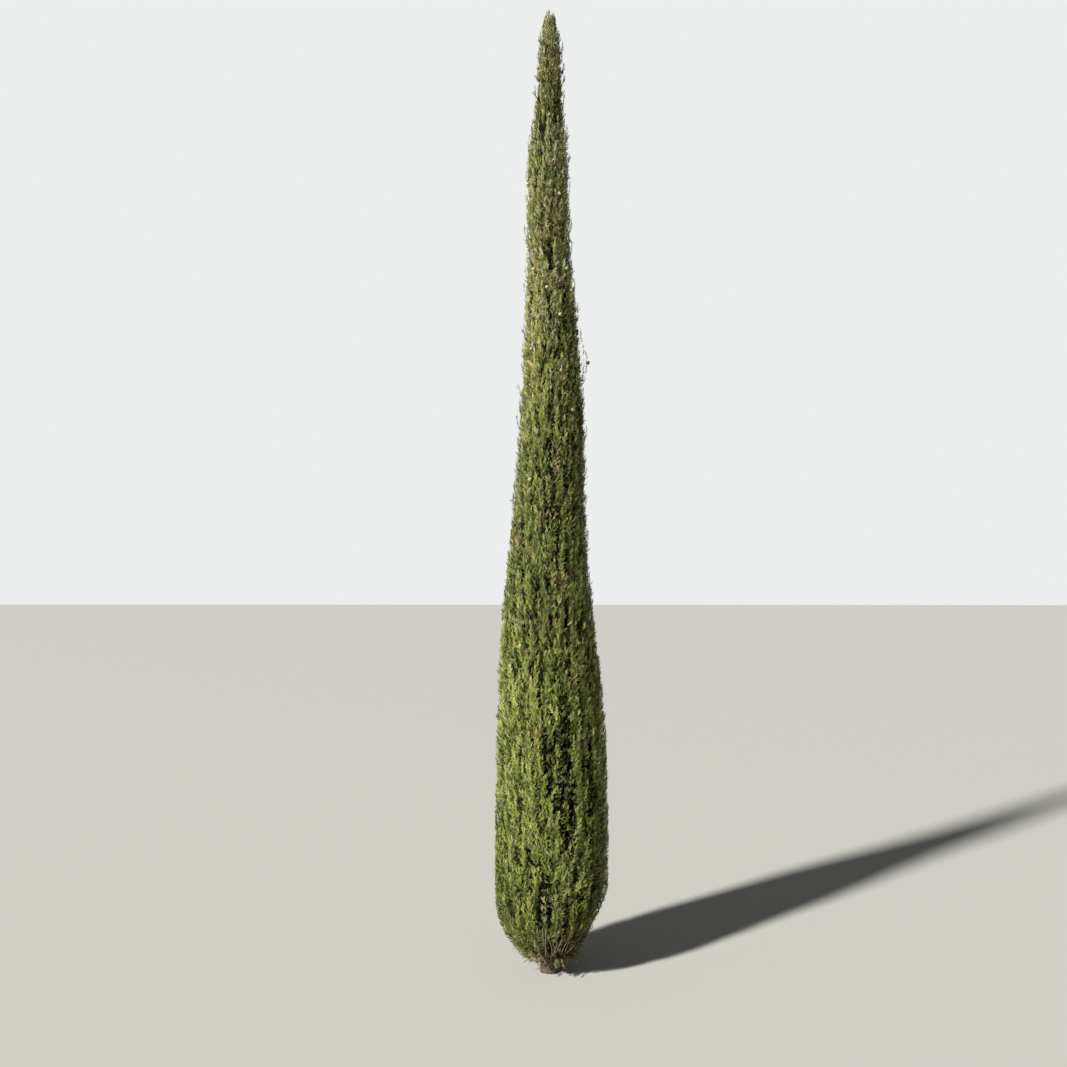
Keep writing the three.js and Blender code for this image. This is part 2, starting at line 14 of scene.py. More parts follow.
import bpy
import numpy as np
from bpy.types import Material, Node, NodeSocket, NodeTree, Object
from mathutils import Euler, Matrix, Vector

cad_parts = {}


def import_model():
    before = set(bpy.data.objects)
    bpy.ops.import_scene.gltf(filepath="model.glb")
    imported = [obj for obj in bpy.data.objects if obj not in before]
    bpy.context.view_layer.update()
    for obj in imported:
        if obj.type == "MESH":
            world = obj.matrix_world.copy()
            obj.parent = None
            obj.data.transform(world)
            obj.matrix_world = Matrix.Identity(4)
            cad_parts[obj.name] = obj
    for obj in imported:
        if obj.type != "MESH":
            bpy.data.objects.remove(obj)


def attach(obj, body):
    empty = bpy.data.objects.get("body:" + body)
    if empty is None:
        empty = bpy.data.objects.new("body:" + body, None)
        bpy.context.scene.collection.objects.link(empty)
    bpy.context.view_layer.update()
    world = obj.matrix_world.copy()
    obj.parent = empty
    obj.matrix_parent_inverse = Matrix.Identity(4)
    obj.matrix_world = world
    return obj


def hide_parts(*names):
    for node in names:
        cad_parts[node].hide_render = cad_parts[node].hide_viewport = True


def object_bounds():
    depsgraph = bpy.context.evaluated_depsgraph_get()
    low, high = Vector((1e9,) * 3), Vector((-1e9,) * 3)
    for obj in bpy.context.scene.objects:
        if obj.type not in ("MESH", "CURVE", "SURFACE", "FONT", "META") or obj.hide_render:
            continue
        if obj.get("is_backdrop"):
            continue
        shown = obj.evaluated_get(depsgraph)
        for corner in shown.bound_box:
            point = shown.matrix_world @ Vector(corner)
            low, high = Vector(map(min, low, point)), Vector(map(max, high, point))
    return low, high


Array = np.ndarray
Draws = np.random.Generator
Pair = tuple[float, float]
Mesh = tuple[Array, Array]  # corners and triangles

LOG = logging.getLogger("cypress")
BODY = "root"
GROWTH_SEED = 4171
MOST_TRIANGLES = 180_000  # in one joined piece
GOLDEN = 0.618034  # turns of the sector from one twig to the next
UP = np.array([0.0, 0.0, 1.0])


def linear(hex_colour: str) -> tuple[float, float, float, float]:
    """Turns an sRGB hex colour into the linear colour that a shader takes.

    Args:
        hex_colour: a colour such as "#5a652e".

    Returns:
        Red, green, blue and an alpha of 1.
    """
    parts = [int(hex_colour[i : i + 2], 16) / 255 for i in (1, 3, 5)]
    low_end, slope, offset, power = 0.04045, 12.92, 0.055, 2.4
    red, green, blue = (
        c / slope if c <= low_end else ((c + offset) / (1 + offset)) ** power for c in parts
    )
    return (red, green, blue, 1.0)


def unit(vectors: Array) -> Array:
    """Scales vectors, in rows, to a length of 1."""
    return vectors / np.maximum(np.linalg.norm(vectors, axis=-1, keepdims=True), 1e-12)


def mesh_object(
    name: str, corners: Array, faces: Array, material: Material, normals: Array | None = None
) -> Object:
    """Makes a smooth mesh of triangles, at the origin, with one material.

    Args:
        name: the object's and the mesh's name.
        corners: the corners' places, one row each.
        faces: three corner numbers in each row.
        material: the finish of all faces.
        normals: the shading normal at each corner, where it isn't that of the faces round it.

    Returns:
        The new object, linked to the scene.
    """
    mesh = bpy.data.meshes.new(name)
    mesh.vertices.add(len(corners))
    mesh.vertices.foreach_set("co", np.ascontiguousarray(corners, np.float32).ravel())
    mesh.loops.add(3 * len(faces))
    mesh.loops.foreach_set("vertex_index", np.ascontiguousarray(faces, np.int32).ravel())
    mesh.polygons.add(len(faces))
    mesh.polygons.foreach_set("loop_start", np.arange(0, 3 * len(faces), 3, dtype=np.int32))
    mesh.polygons.foreach_set("use_smooth", np.ones(len(faces), bool))
    mesh.materials.append(material)
    mesh.update(calc_edges=True)
    if normals is not None:
        mesh.normals_split_custom_set_from_vertices(normals)
    made = bpy.data.objects.new(name, mesh)
    bpy.context.scene.collection.objects.link(made)
    return made


def ring_faces(rings: int, sides: int) -> Array:
    """Triangles of a closed column, from rings of corners stored one after the other.

    Each end is closed by a fan round its own middle corner. The two are stored after the
    rings, the first ring's before the last ring's.

    Args:
        rings: number of rings.
        sides: corners in a ring, counter-clockwise seen from the last ring.

    Returns:
        Three corner numbers in each row.
    """
    j = np.arange(sides)
    k = (j + 1) % sides
    rows = []
    for i in range(rings - 1):
        a, b = i * sides, (i + 1) * sides
        rows.append(np.stack([a + j, a + k, b + k], 1))
        rows.append(np.stack([a + j, b + k, b + j], 1))
    foot, top, last = rings * sides, rings * sides + 1, (rings - 1) * sides
    rows.append(np.stack([np.full(sides, foot), k, j], 1))
    rows.append(np.stack([np.full(sides, top), last + j, last + k], 1))
    return np.concatenate(rows)


def joined(parts: list[Mesh]) -> Mesh:
    """Several meshes as one.

    Args:
        parts: corners and triangles of each.

    Returns:
        All corners and all triangles.
    """
    firsts = np.cumsum([0] + [len(corners) for corners, _ in parts])
    faces = [first + triangles for first, (_, triangles) in zip(firsts, parts)]
    return np.concatenate([corners for corners, _ in parts]), np.concatenate(faces)


def column_grid(levels: Array, sides: int) -> list[Array]:
    """Level and azimuth of each corner of a column, one row for each level."""
    return np.meshgrid(levels, math.tau * np.arange(sides) / sides, indexing="ij")


@dataclass(frozen=True)
class Ripple:
    """Smooth repeatable noise, from about -1 to 1, made of a few waves."""

    seed: int
    wave: float  # length of the longest wave
    waves: int = 7

    def at(self, points: Array) -> Array:
        """The noise at points, in rows.

        Args:
            points: places in space, one row each.

        Returns:
            One value for each point.
        """
        draws = np.random.default_rng(self.seed)
        total = np.zeros(points.shape[:-1])
        for i in range(self.waves):
            pull = unit(draws.normal(size=3)) * math.tau / self.wave * (1 + 0.35 * i)
            total += np.sin(points @ pull + draws.uniform(0, math.tau))
        return total / math.sqrt(self.waves)


class RuleRandom:
    """Repeatable random numbers, the same that the solids were grown with."""

    FACTOR = 48271
    MODULUS = 2147483647

    def __init__(self, seed: int) -> None:
        """Starts the row of numbers.

        Args:
            seed: the number that the row starts from.
        """
        self.state = seed

    def draw(self, least: float = 0.0, most: float = 1.0) -> float:
        """The next number, between the least and the most."""
        self.state = self.state * self.FACTOR % self.MODULUS
        return least + (most - least) * self.state / self.MODULUS


@dataclass(frozen=True)
class Slope:
    """A share that goes from 0 to 1 over a run of height, downwards where the run is minus."""

    start: float
    run: float

    def at(self, z: Array) -> Array:
        """The share at heights."""
        return np.clip((z - self.start) / self.run, 0, 1)


@dataclass(frozen=True)
class Wave:
    """A wave that runs up a surface and round it."""

    size: float
    rise: float  # radians for each metre of height
    turns: float = 0.0  # whole waves round the axis
    start: float = 0.0

    def at(self, z: Array, azimuth: Array | float = 0.0) -> Array:
        """The wave at heights and azimuths."""
        return self.size * np.sin(self.rise * z + self.turns * azimuth + self.start)


@dataclass
class Places:
    """Where points lie round the crown's axis."""

    out: Array  # X and Y from the axis
    z: Array
    distance: Array
    azimuth: Array

    def turned_from(self, azimuth: float) -> Array:
        """The points' azimuths as turns from another one, at most half a turn either way."""
        return (self.azimuth - azimuth + math.pi) % math.tau - math.pi


@dataclass(frozen=True)
class Crown:
    """The outline that the plumes grow out to, and the axis that they stand round."""

    outline: tuple[Pair, ...] = (
        (0.450, 0.243), (0.900, 0.230), (1.250, 0.215), (1.750, 0.167),
        (2.200, 0.144), (2.650, 0.114), (2.950, 0.094), (3.400, 0.086),
        (3.560, 0.060), (3.850, 0.045), (3.960, 0.024), (4.000, 0.005),
    )
    foot: float = 0.040
    foot_tilt: float = 0.016
    foot_round: float = 2.2
    dent: float = 0.10  # of the radius, on the side of +X
    dent_height: float = 0.20
    dent_run: float = 0.10
    furrows: int = 16
    furrow_turn: float = 1.65
    furrow_width: float = 0.5
    furrow_wanders: tuple[Wave, ...] = (Wave(0.9, math.tau / 1.3), Wave(0.4, 13.0, 3))
    furrow_strength: float = 0.5
    furrow_change: Wave = Wave(0.8, 3.3, 2, 1.34)  # of the strength
    furrow_depth: float = 0.12  # of the radius
    proud: float = 0.030  # of the radius, that the leaf tips stand out past the outline
    tuft_depth: float = 0.13  # of the radius, between the tufts of the upper crown
    tuft_rise: float = 0.110  # from one tuft to the one above
    tuft_turns: tuple[int, int] = (4, 5)
    tuft_wander: Wave = Wave(1.5, 9.0)
    tuft_twist: float = 0.6
    tufted: Slope = Slope(1.6, 0.8)
    tip_lean: float = 0.007  # of the topmost leaves, to the side of -X
    tip: Slope = Slope(3.74, 0.16)
    sway: Pair = (0.008, 0.005)
    sway_waves: Pair = (1.7, 2.3)
    sway_start: float = 0.275
    sway_ease: float = 0.5

    def axis(self, z: Array | float) -> Array:
        """The axis of trunk and crown.

        Args:
            z: heights.

        Returns:
            X and Y at each height, in the last dimension.
        """
        z = np.asarray(z, float)
        ease = np.minimum(1, z / self.sway_ease)
        turn_x = math.tau * (z - self.sway_start) / self.sway_waves[0]
        turn_y = math.tau * z / self.sway_waves[1]
        return np.stack(
            [self.sway[0] * ease * np.sin(turn_x), self.sway[1] * ease * np.sin(turn_y)], -1
        )

    def radius(self, z: Array | float, azimuth: Array | float) -> Array:
        """The crown's radius.

        Args:
            z: heights.
            azimuth: azimuths from +X, in radians.

        Returns:
            The radius at each height and azimuth.
        """
        belt, belt_radius = self.outline[0]
        foot = self.foot + self.foot_tilt * np.cos(azimuth)
        fall = np.clip((belt - z) / (belt - foot), 0, 1)
        rounded = belt_radius * (1 - fall**self.foot_round) ** (1 / self.foot_round)
        above = np.interp(z, *np.array(self.outline).T, right=0.0)
        return np.where(np.asarray(z) < belt, rounded, above)

    def furrow(self, z: Array, azimuth: Array) -> Array:
        """How far into an upright furrow between two branches a place lies.

        Args:
            z: heights.
            azimuth: azimuths from +X, in radians.

        Returns:
            From 0 on the ridges to 1 in the middle of a deep furrow.
        """
        wander = sum(wave.at(z, azimuth) for wave in self.furrow_wanders)
        turn = 0.5 * self.furrows * azimuth + self.furrow_turn + wander
        strength = np.clip(self.furrow_strength + self.furrow_change.at(z, azimuth), 0, 1)
        return strength * np.exp(-((np.sin(turn) / self.furrow_width) ** 2))

    def tuft_gap(self, z: Array, azimuth: Array) -> Array:
        """How far between tufts of the upper crown a place lies.

        Args:
            z: heights.
            azimuth: azimuths from +X, in radians.

        Returns:
            From 0 on the tufts to 1 in the gaps between them.
        """
        turn = math.tau * z / self.tuft_rise
        up, down = self.tuft_turns
        rows = np.sin(turn + up * azimuth + self.tuft_wander.at(z))
        lumps = rows * np.cos(down * azimuth - self.tuft_twist * turn)
        return self.tufted.at(z) * (0.5 - 0.5 * lumps)

    def lean(self, z: Array) -> Array:
        """How far the topmost leaves lean to the side of -X."""
        return self.tip_lean * self.tip.at(z)

    def leaf_reach(self, z: Array, azimuth: Array) -> Array:
        """How far leaves reach: as the crown, with its furrows, tufts, leaning tip and hollow.

        Args:
            z: heights.
            azimuth: azimuths from +X, in radians.

        Returns:
            The reach at each height and azimuth.
        """
        dent = self.dent * np.exp(-(((z - self.dent_height) / self.dent_run) ** 2))
        fullness = 1 + self.proud - dent * np.clip(np.cos(azimuth), 0, 1) ** 2
        fullness = fullness - self.furrow_depth * self.furrow(z, azimuth)
        fullness = fullness - self.tuft_depth * self.tuft_gap(z, azimuth)
        return self.radius(z, azimuth) * fullness - self.lean(z) * np.cos(azimuth)

    def places(self, points: Array) -> Places:
        """Where points, in rows, lie round the axis."""
        out, z = points[:, :2] - self.axis(points[:, 2]), points[:, 2]
        return Places(out, z, np.linalg.norm(out, axis=1), np.arctan2(out[:, 1], out[:, 0]))

    def path(self, heights: Array, out: Array, azimuth: Array | float) -> Array:
        """A root, a bend and a tip, set out from the axis.

        Args:
            heights: their heights.
            out: their distances from the axis.
            azimuth: their azimuths, in radians.

        Returns:
            The three points, in rows.
        """
        path = np.column_stack([self.axis(heights), heights])
        path[:, 0] += out * np.cos(azimuth)
        path[:, 1] += out * np.sin(azimuth)
        return path


CROWN = Crown()


@dataclass(frozen=True)
class Joint:
    """A sloping surface between a plume and the one above it, rising outwards."""

    height: float
    radius: float
    slope: float
    stagger: float = 0.0  # neighbouring sectors have it this much up or down by turns

    def moved(self, turn_about: int) -> "Joint":
        """The joint of one sector, moved up (1) or down (-1) by its stagger."""
        return Joint(self.height + turn_about * self.stagger, self.radius, self.slope)

    def cone(self, x: Array, y: Array) -> Array:
        """Height of the cone over points."""
        east, north = CROWN.axis(self.height)
        return self.height + self.slope * (np.hypot(x - east, y - north) - self.radius)

    def plane(self, x: Array, y: Array, azimuth: float) -> Array:
        """Height over points of the plane that touches the cone along one azimuth.

        Args:
            x: how far east each point lies.
            y: how far north it lies.
            azimuth: where the plane touches.

        Returns:
            The height over each point.
        """
        east, north = CROWN.axis(self.height)
        out = (x - east) * math.cos(azimuth) + (y - north) * math.sin(azimuth)
        return self.height + self.slope * (out - self.radius)


@dataclass(frozen=True)
class Stage:
    """A stage of the crown: how its plumes divide it, and how they are furnished."""

    name: str
    sectors: int
    turn: float
    inner_reach: float
    joints: tuple[Joint, ...]
    top: Joint
    sprays: int
    spray_length: float
    stem_radius: float
    seed_cones: int
    rib_pitch: float  # distance between upright ribs of finer shoots
    rise_pitch: float  # distance between the shoots of one rib
    twig_spray: float  # length of the finest sprays
    tip_shares: Pair  # reach of the finer shoots, as shares of the crown's
    lift: float = 0.0
    boughs: tuple[Pair, ...] = ()  # foot radius and drop of each


GROUND = Joint(0.050, 0.0, 0.0)  # the joint under the lowest plumes
STAGES = (
    Stage(
        name="lower", sectors=7, turn=0.2, inner_reach=0.060, lift=0.052,
        boughs=((0.011, 0.105), (0.010, 0.240)),
        joints=(Joint(0.620, 0.150, 2.2, 0.085), Joint(1.180, 0.140, 2.4, 0.085)),
        top=Joint(1.700, 0.105, 2.6), sprays=8, spray_length=0.200, stem_radius=0.006,
        seed_cones=0, rib_pitch=0.042, rise_pitch=0.043, twig_spray=0.032, tip_shares=(0.95, 1.03),
    ),
    Stage(
        name="middle", sectors=5, turn=0.75, inner_reach=0.031,
        joints=(Joint(2.300, 0.085, 3.2, 0.070),), top=Joint(2.880, 0.055, 3.6), sprays=8,
        spray_length=0.145, stem_radius=0.005, seed_cones=2, rib_pitch=0.034, rise_pitch=0.036,
        twig_spray=0.029, tip_shares=(0.86, 1.03),
    ),
    Stage(
        name="upper", sectors=3, turn=0.1, inner_reach=0.013,
        joints=(Joint(3.280, 0.045, 4.0, 0.045),), top=Joint(3.755, 0.030, 4.5), sprays=7,
        spray_length=0.115, stem_radius=0.0035, seed_cones=1, rib_pitch=0.027, rise_pitch=0.031,
        twig_spray=0.026, tip_shares=(0.76, 1.02),
    ),
)


@dataclass(frozen=True)
class Rule:
    """The rule that plumes grow by, with the solids' values. Pairs are a least and a most."""

    wall_gap: float = 0.0004
    core_reach: float = 0.88
    core_shoulder_drop: float = 0.15
    sink: float = 0.022
    sizes: Pair = (0.8, 1.2)
    width_share: float = 0.27
    keel_share: float = 0.52
    notch: float = 0.42
    stations: int = 3
    spread: float = 0.85
    leans: Pair = (-0.125, 0.125)
    rolls: Pair = (-0.25, 0.25)
    tip_shares: Pair = (0.95, 1.02)
    rise: float = 0.94
    bend_lean: float = 0.3
    bend_rise: float = 0.22
    top_share: float = 0.86
    step_shares: Pair = (0.2, 0.8)
    tries: int = 5
    try_shrink: float = 0.12
    try_inwards: float = 0.15
    try_drop: float = 0.025
    skirt_sprays: int = 3
    skirt_spread: float = 0.65
    skirt_root_rise: float = 0.030
    skirt_run: float = 0.045
    skirt_tip_shares: Pair = (0.2, 0.9)
    skirt_bend: float = 0.3
    cone_radius: float = 0.009
    cone_shares: Pair = (0.15, 0.85)
    cone_sides: Pair = (-0.6, 0.6)
    sector_jitter: float = 0.13
    sector_beat: float = 2.4
    first_seed: int = 11
    seed_step: int = 7
    entry_reach: float = 0.022
    entry_rise: float = 0.045
    stem_run: float = 0.130
    stem_lean: float = 0.030
    stem_drop: float = 0.110


RULE = Rule()


@dataclass(frozen=True)
class PlumeSpace:
    """The space that one plume keeps to, over the joint below it and under the one above."""

    centre: Pair
    azimuth: float
    half_angle: float
    inner_reach: float
    below: Joint
    above: Joint
    lift: float = 0.0

    def point(self, side: Array, radius: Array, z: Array) -> Array:
        """Points from their places across the sector, distances from the axis and heights.

        Args:
            side: place across the sector, -1 at one wall and 1 at the other.
            radius: distance from the space's centre.
            z: height.

        Returns:
            X, Y and Z in the last dimension.
        """
        azimuth = self.azimuth + np.asarray(side) * self.half_angle
        x = self.centre[0] + np.asarray(radius) * np.cos(azimuth)
        y = self.centre[1] + np.asarray(radius) * np.sin(azimuth)
        return np.stack(np.broadcast_arrays(x, y, z), -1)

    def bottom_at(self, x: Array, y: Array) -> Array:
        """Height of the space's floor under points."""
        return self.below.cone(x, y) + RULE.wall_gap * math.hypot(1, self.below.slope)

    def top_at(self, x: Array, y: Array) -> Array:
        """Height of the space's ceiling over points."""
        clear = RULE.wall_gap * math.hypot(1, self.above.slope)
        return self.above.plane(x, y, self.azimuth) - clear

    def height_at(self, point: Array, share: float) -> float:
        """Height at a share of the way from the core's foot to the ceiling."""
        foot = self.bottom_at(point[0], point[1]) + self.lift
        return float(foot + share * (self.top_at(point[0], point[1]) - foot))

    def reach(self, side: Array, z: Array) -> Array:
        """The crown's radius from this space's centre.

        Args:
            side: places across the space, from -1 to 1.
            z: heights.

        Returns:
            The radius at each.
        """
        azimuth = self.azimuth + np.asarray(side) * self.half_angle
        shift = CROWN.axis(z) - np.array(self.centre)
        out = shift[..., 0] * np.cos(azimuth) + shift[..., 1] * np.sin(azimuth)
        return CROWN.radius(z, azimuth) + out

    def core_radius(self, side: float, z: float) -> float:
        """Radius of the dense core at a place and height."""
        fullness = RULE.core_reach - RULE.core_shoulder_drop * side * side
        return float(self.reach(side, z)) * fullness

    def belt(self, side: float) -> Array:
        """The point on the core's face at which heights in the plume are read."""
        return self.point(side, self.core_radius(side, self.above.height), 0.0)

    def holds(self, points: Array) -> bool:
        """Whether all points lie inside the space.

        Args:
            points: the points, in rows.

        Returns:
            True or false.
        """
        x = points[:, 0] - self.centre[0]
        y = points[:, 1] - self.centre[1]
        out = x * math.cos(self.azimuth) + y * math.sin(self.azimuth)
        across = np.abs(y * math.cos(self.azimuth) - x * math.sin(self.azimuth))
        to_wall = out * math.sin(self.half_angle) - across * math.cos(self.half_angle)
        inside = (
            (out >= self.inner_reach)
            & (to_wall >= RULE.wall_gap)
            & (points[:, 2] > self.bottom_at(points[:, 0], points[:, 1]))
            & (points[:, 2] < self.top_at(points[:, 0], points[:, 1]))
        )
        return bool(inside.all())


def curve_points(path: Array, t: Array) -> Array:
    """Points on the curve of a root, a bend and a tip.

    Args:
        path: the three points, in rows.
        t: how far along the curve, from 0 to 1.

    Returns:
        One point for each t, in rows.
    """
    t = np.asarray(t, float)[:, None]
    return (1 - t) ** 2 * path[0] + 2 * t * (1 - t) * path[1] + t**2 * path[2]


def curve_along(path: Array, t: Array) -> Array:
    """Unit vectors along the curve of a root, a bend and a tip, one for each t."""
    t = np.asarray(t, float)[:, None]
    return unit((1 - t) * (path[1] - path[0]) + t * (path[2] - path[1]))


@dataclass
class Shoot:
    """An upright curved twig with sprays on it, the size of one toothed blade of the solids."""

    path: Array  # root, bend and tip, in rows
    spray: float  # length of the sprays near its root
    end_spray: float  # length of the spray on its tip
    sprays: int
    splay: float = 40.0  # degrees that the sprays near its root stand off it
    vigour_and_shade: float = 0.0  # how pale and fresh it is, about -1 to 1, and on the inner shoots lower still as painted shade


@dataclass
class Cone:
    """A seed cone: where it sits, which way it faces and how large it is."""

    place: Array
    outwards: Array
    radius: float


@dataclass
class Limb:
    """A straight tapering limb."""

    foot: Array
    tip: Array
    foot_radius: float
    tip_radius: float


@dataclass
class Plume:
    """One plume of foliage, with its stem, shoots and seed cones."""

    stage: Stage
    tier: int
    letter: str
    space: PlumeSpace
    seed: int

    BOUGH_TIP_SHARE = 0.6
    STEM_TIP_SHARE = 0.8
    SPRAY_STEP = 0.25  # distance between sprays on a shoot, in spray lengths
    STAND_SHARE = 0.34  # a shoot keeps this share of a spray inside of the crown's reach
    FINER_SIZES = (0.50, 0.92)
    FINER_TOP_SHARE = 0.93
    FINER_TRIES = 4
    FINER_SHRINK = 0.2
    FINER_OVERLAP = 0.055  # finer shoots may pass the ceiling by this
    RIB_JITTER = 0.62  # of the rib's pitch
    FINER_LEANS = (-0.22, 0.22)  # half sectors
    RIB_SHARES = (0.93, 1.02)  # reach of a rib, as a share of a full one's
    SHOULDER_DROP = 0.05  # of the reach, at the sector's walls
    BOWL_SHOOTS = 20  # under each of the lowest plumes
    BOWL_TIPS = (0.060, 0.330)  # heights
    BOWL_ROOTS = (0.075, 0.130)
    BOWL_REACHES = (0.9, 1.0)
    CONES_SHOW_FROM = 2.35  # lower down they lie among the leaves
    CONE_SINKS = (0.5, 1.6)  # in radii, from the crown's reach

    @property
    def node(self) -> str:
        """Name of the plume's solid."""
        return f"foliage_{self.stage.name}_{self.tier + 1}_{self.letter}"

    @property
    def bough_node(self) -> str | None:
        """Name of the solid of the bough that carries it, if it has one."""
        has_bough = self.tier < len(self.stage.boughs)
        return f"bough_{self.tier + 1}_{self.letter}" if has_bough else None

    def entry(self) -> Array:
        """Where the bough or the stem enters the core."""
        entry = self.space.point(0.0, self.space.inner_reach + RULE.entry_reach, 0.0)
        return np.array([*entry[:2], self.space.height_at(entry, 0.0) + RULE.entry_rise])

    def bough(self) -> Limb | None:
        """The bough from the trunk's axis to the plume.

        Returns:
            The bough, or None for a plume that has none.
        """
        if self.bough_node is None:
            return None
        foot_radius, drop = self.stage.boughs[self.tier]
        entry = self.entry()
        foot = np.append(CROWN.axis(entry[2] - drop), entry[2] - drop)
        return Limb(foot, entry, foot_radius, self.BOUGH_TIP_SHARE * foot_radius)

    def stem(self) -> Limb:
        """The stem from the bough's tip or the trunk's axis into the core.

        Returns:
            The stem.
        """
        entry = self.entry()
        if self.bough_node is None:
            z = entry[2] - RULE.stem_drop
            foot = np.append(CROWN.axis(z), z)
        else:
            foot = entry
        out = self.space.inner_reach + RULE.entry_reach + RULE.stem_lean
        tip = self.space.point(0.0, out, entry[2] + RULE.stem_run)
        radius = self.stage.stem_radius
        return Limb(foot, tip, radius, self.STEM_TIP_SHARE * radius)

    def blade_corners(self, path: Array, roll: float, width: float) -> Array:
        """Corners of the solids' toothed blade along a path, which tell if it fits.

        Args:
            path: root, bend and tip, in rows.
            roll: turn about its length, in radians.
            width: the blade's width.

        Returns:
            The corners, in rows, the tip last.
        """
        tip = path[2]
        azimuth = math.atan2(tip[1] - self.space.centre[1], tip[0] - self.space.centre[0])
        across = np.array([-math.sin(azimuth + roll), math.cos(azimuth + roll), 0.0])
        corners = []
        for i in range(RULE.stations):
            t = np.array([(i + 1) / (RULE.stations + 1)])
            along = curve_along(path, t)[0]
            side = unit(across - (across @ along) * along)
            keel = np.cross(along, side)
            full = 0.5 * width * math.sin(math.pi * t[0])
            left, right = (RULE.notch * full, full) if i % 2 else (full, RULE.notch * full)
            centre = curve_points(path, t)[0]
            corners += [
                centre + left * side, centre + RULE.keel_share * full * keel, centre - right * side
            ]
        return np.array([*corners, tip])

    def shoot_on(self, place: float, z: float, size: float, lean: float, tip: float) -> Shoot:
        """A shoot whose sprays fill the outline of a blade of the solids.

        Args:
            place: place across the sector.
            z: height of the root.
            size: the blade's length.
            lean: how far the tip leans sideways, in half sectors.
            tip: distance of the blade's tip from the axis.

        Returns:
            The shoot, set back so that the tips of its sprays keep to the blade's reach.
        """
        spray = self.stage.twig_spray
        stand = self.STAND_SHARE * spray
        end_spray = 0.8 * spray
        top = z + RULE.rise * size - end_spray
        root_radius = self.space.core_radius(place, z) - RULE.sink - stand
        path = self.space.point(
            [place, place + RULE.bend_lean * lean, place + lean],
            [root_radius, tip - stand, tip - 0.4 * stand],
            [z, z + RULE.bend_rise * size, max(top, z + 0.3 * size)],
        )
        sprays = max(4, round(size / (self.SPRAY_STEP * spray)))
        return Shoot(path, spray, end_spray, sprays)

    def rule_shoot(self, share: float, side: float, draws: RuleRandom) -> Shoot | None:
        """The shoot of one of the solids' blades. Each new try is smaller and lies further in.

        Args:
            share: height of the root as a share of the plume's.
            side: place across the sector.
            draws: the plume's random numbers.

        Returns:
            The shoot, or None where no try stays in the space.
        """
        length = self.stage.spray_length * draws.draw(*RULE.sizes)
        lean = draws.draw(*RULE.leans)
        roll = draws.draw(*RULE.rolls)
        tip_share = draws.draw(*RULE.tip_shares)
        for attempt in range(RULE.tries):
            size = length * (1 - RULE.try_shrink * attempt)
            place = side * (1 - RULE.try_inwards * attempt)
            z = self.space.height_at(self.space.belt(place), share) - RULE.try_drop * attempt
            tip_height = z + RULE.rise * size
            tip = float(self.space.reach(place, tip_height)) * tip_share
            path = self.space.point(
                [place, place + RULE.bend_lean * lean, place + lean],
                [self.space.core_radius(place, z) - RULE.sink, tip, tip],
                [z, z + RULE.bend_rise * size, tip_height],
            )
            if self.space.holds(self.blade_corners(path, roll, RULE.width_share * size)):
                return self.shoot_on(place, z, size, lean, tip)
        return None

    def finer_shoots(self, growth: Draws) -> list[Shoot]:
        """Shoots between those of the solids, in upright ribs with slits between them.

        Args:
            growth: random numbers.

        Returns:
            The shoots that stay in the space.
        """
        stage, space = self.stage, self.space
        foot = space.height_at(space.belt(0.0), 0.0)
        top = space.height_at(space.belt(0.0), 1.0)
        belt_reach = float(space.reach(0.0, 0.5 * (foot + top)))
        ribs = max(2, round(2 * space.half_angle * belt_reach / stage.rib_pitch))
        rows = max(3, round((top - foot) / stage.rise_pitch))
        shoots = []
        for rib in range(ribs):
            phase = growth.uniform(-0.3, 0.7)
            wander = growth.uniform(-0.35, 0.35) / ribs
            fullness = growth.uniform(*self.RIB_SHARES)
            for row in range(0 if space.lift else -1, rows):
                share = self.FINER_TOP_SHARE * (row + phase) / rows
                jitter = growth.uniform(-1, 1) * self.RIB_JITTER / ribs
                side = (2 * rib + 1) / ribs - 1 + jitter + wander * math.sin(9 * share)
                size = stage.spray_length * growth.uniform(*self.FINER_SIZES)
                lean = growth.uniform(*self.FINER_LEANS)
                tip_share = fullness * growth.uniform(*stage.tip_shares)
                tip_share *= 1 - self.SHOULDER_DROP * side**4
                shoot = self.finer_shoot(share, side, size, lean, tip_share)
                if shoot is not None:
                    shoots.append(shoot)
        return shoots

    def finer_shoot(
        self, share: float, side: float, size: float, lean: float, tip_share: float
    ) -> Shoot | None:
        """One finer shoot, made shorter until its tip stays under the plume's ceiling.

        Args:
            share: height of the root as a share of the plume's.
            side: place across the sector.
            size: length of the first try.
            lean: how far the tip leans sideways, in half sectors.
            tip_share: the tip's reach as a share of the crown's radius.

        Returns:
            The shoot, or None where no try fits.
        """
        z = self.space.height_at(self.space.belt(side), share)
        for _ in range(self.FINER_TRIES):
            tip_height = z + RULE.rise * size
            tip = float(self.space.reach(side, tip_height)) * tip_share
            end = self.space.point(side + lean, tip, tip_height)
            if tip_height < self.space.top_at(end[0], end[1]) + self.FINER_OVERLAP:
                return self.shoot_on(side, z, size, lean, tip)
            size *= 1 - self.FINER_SHRINK
        return None

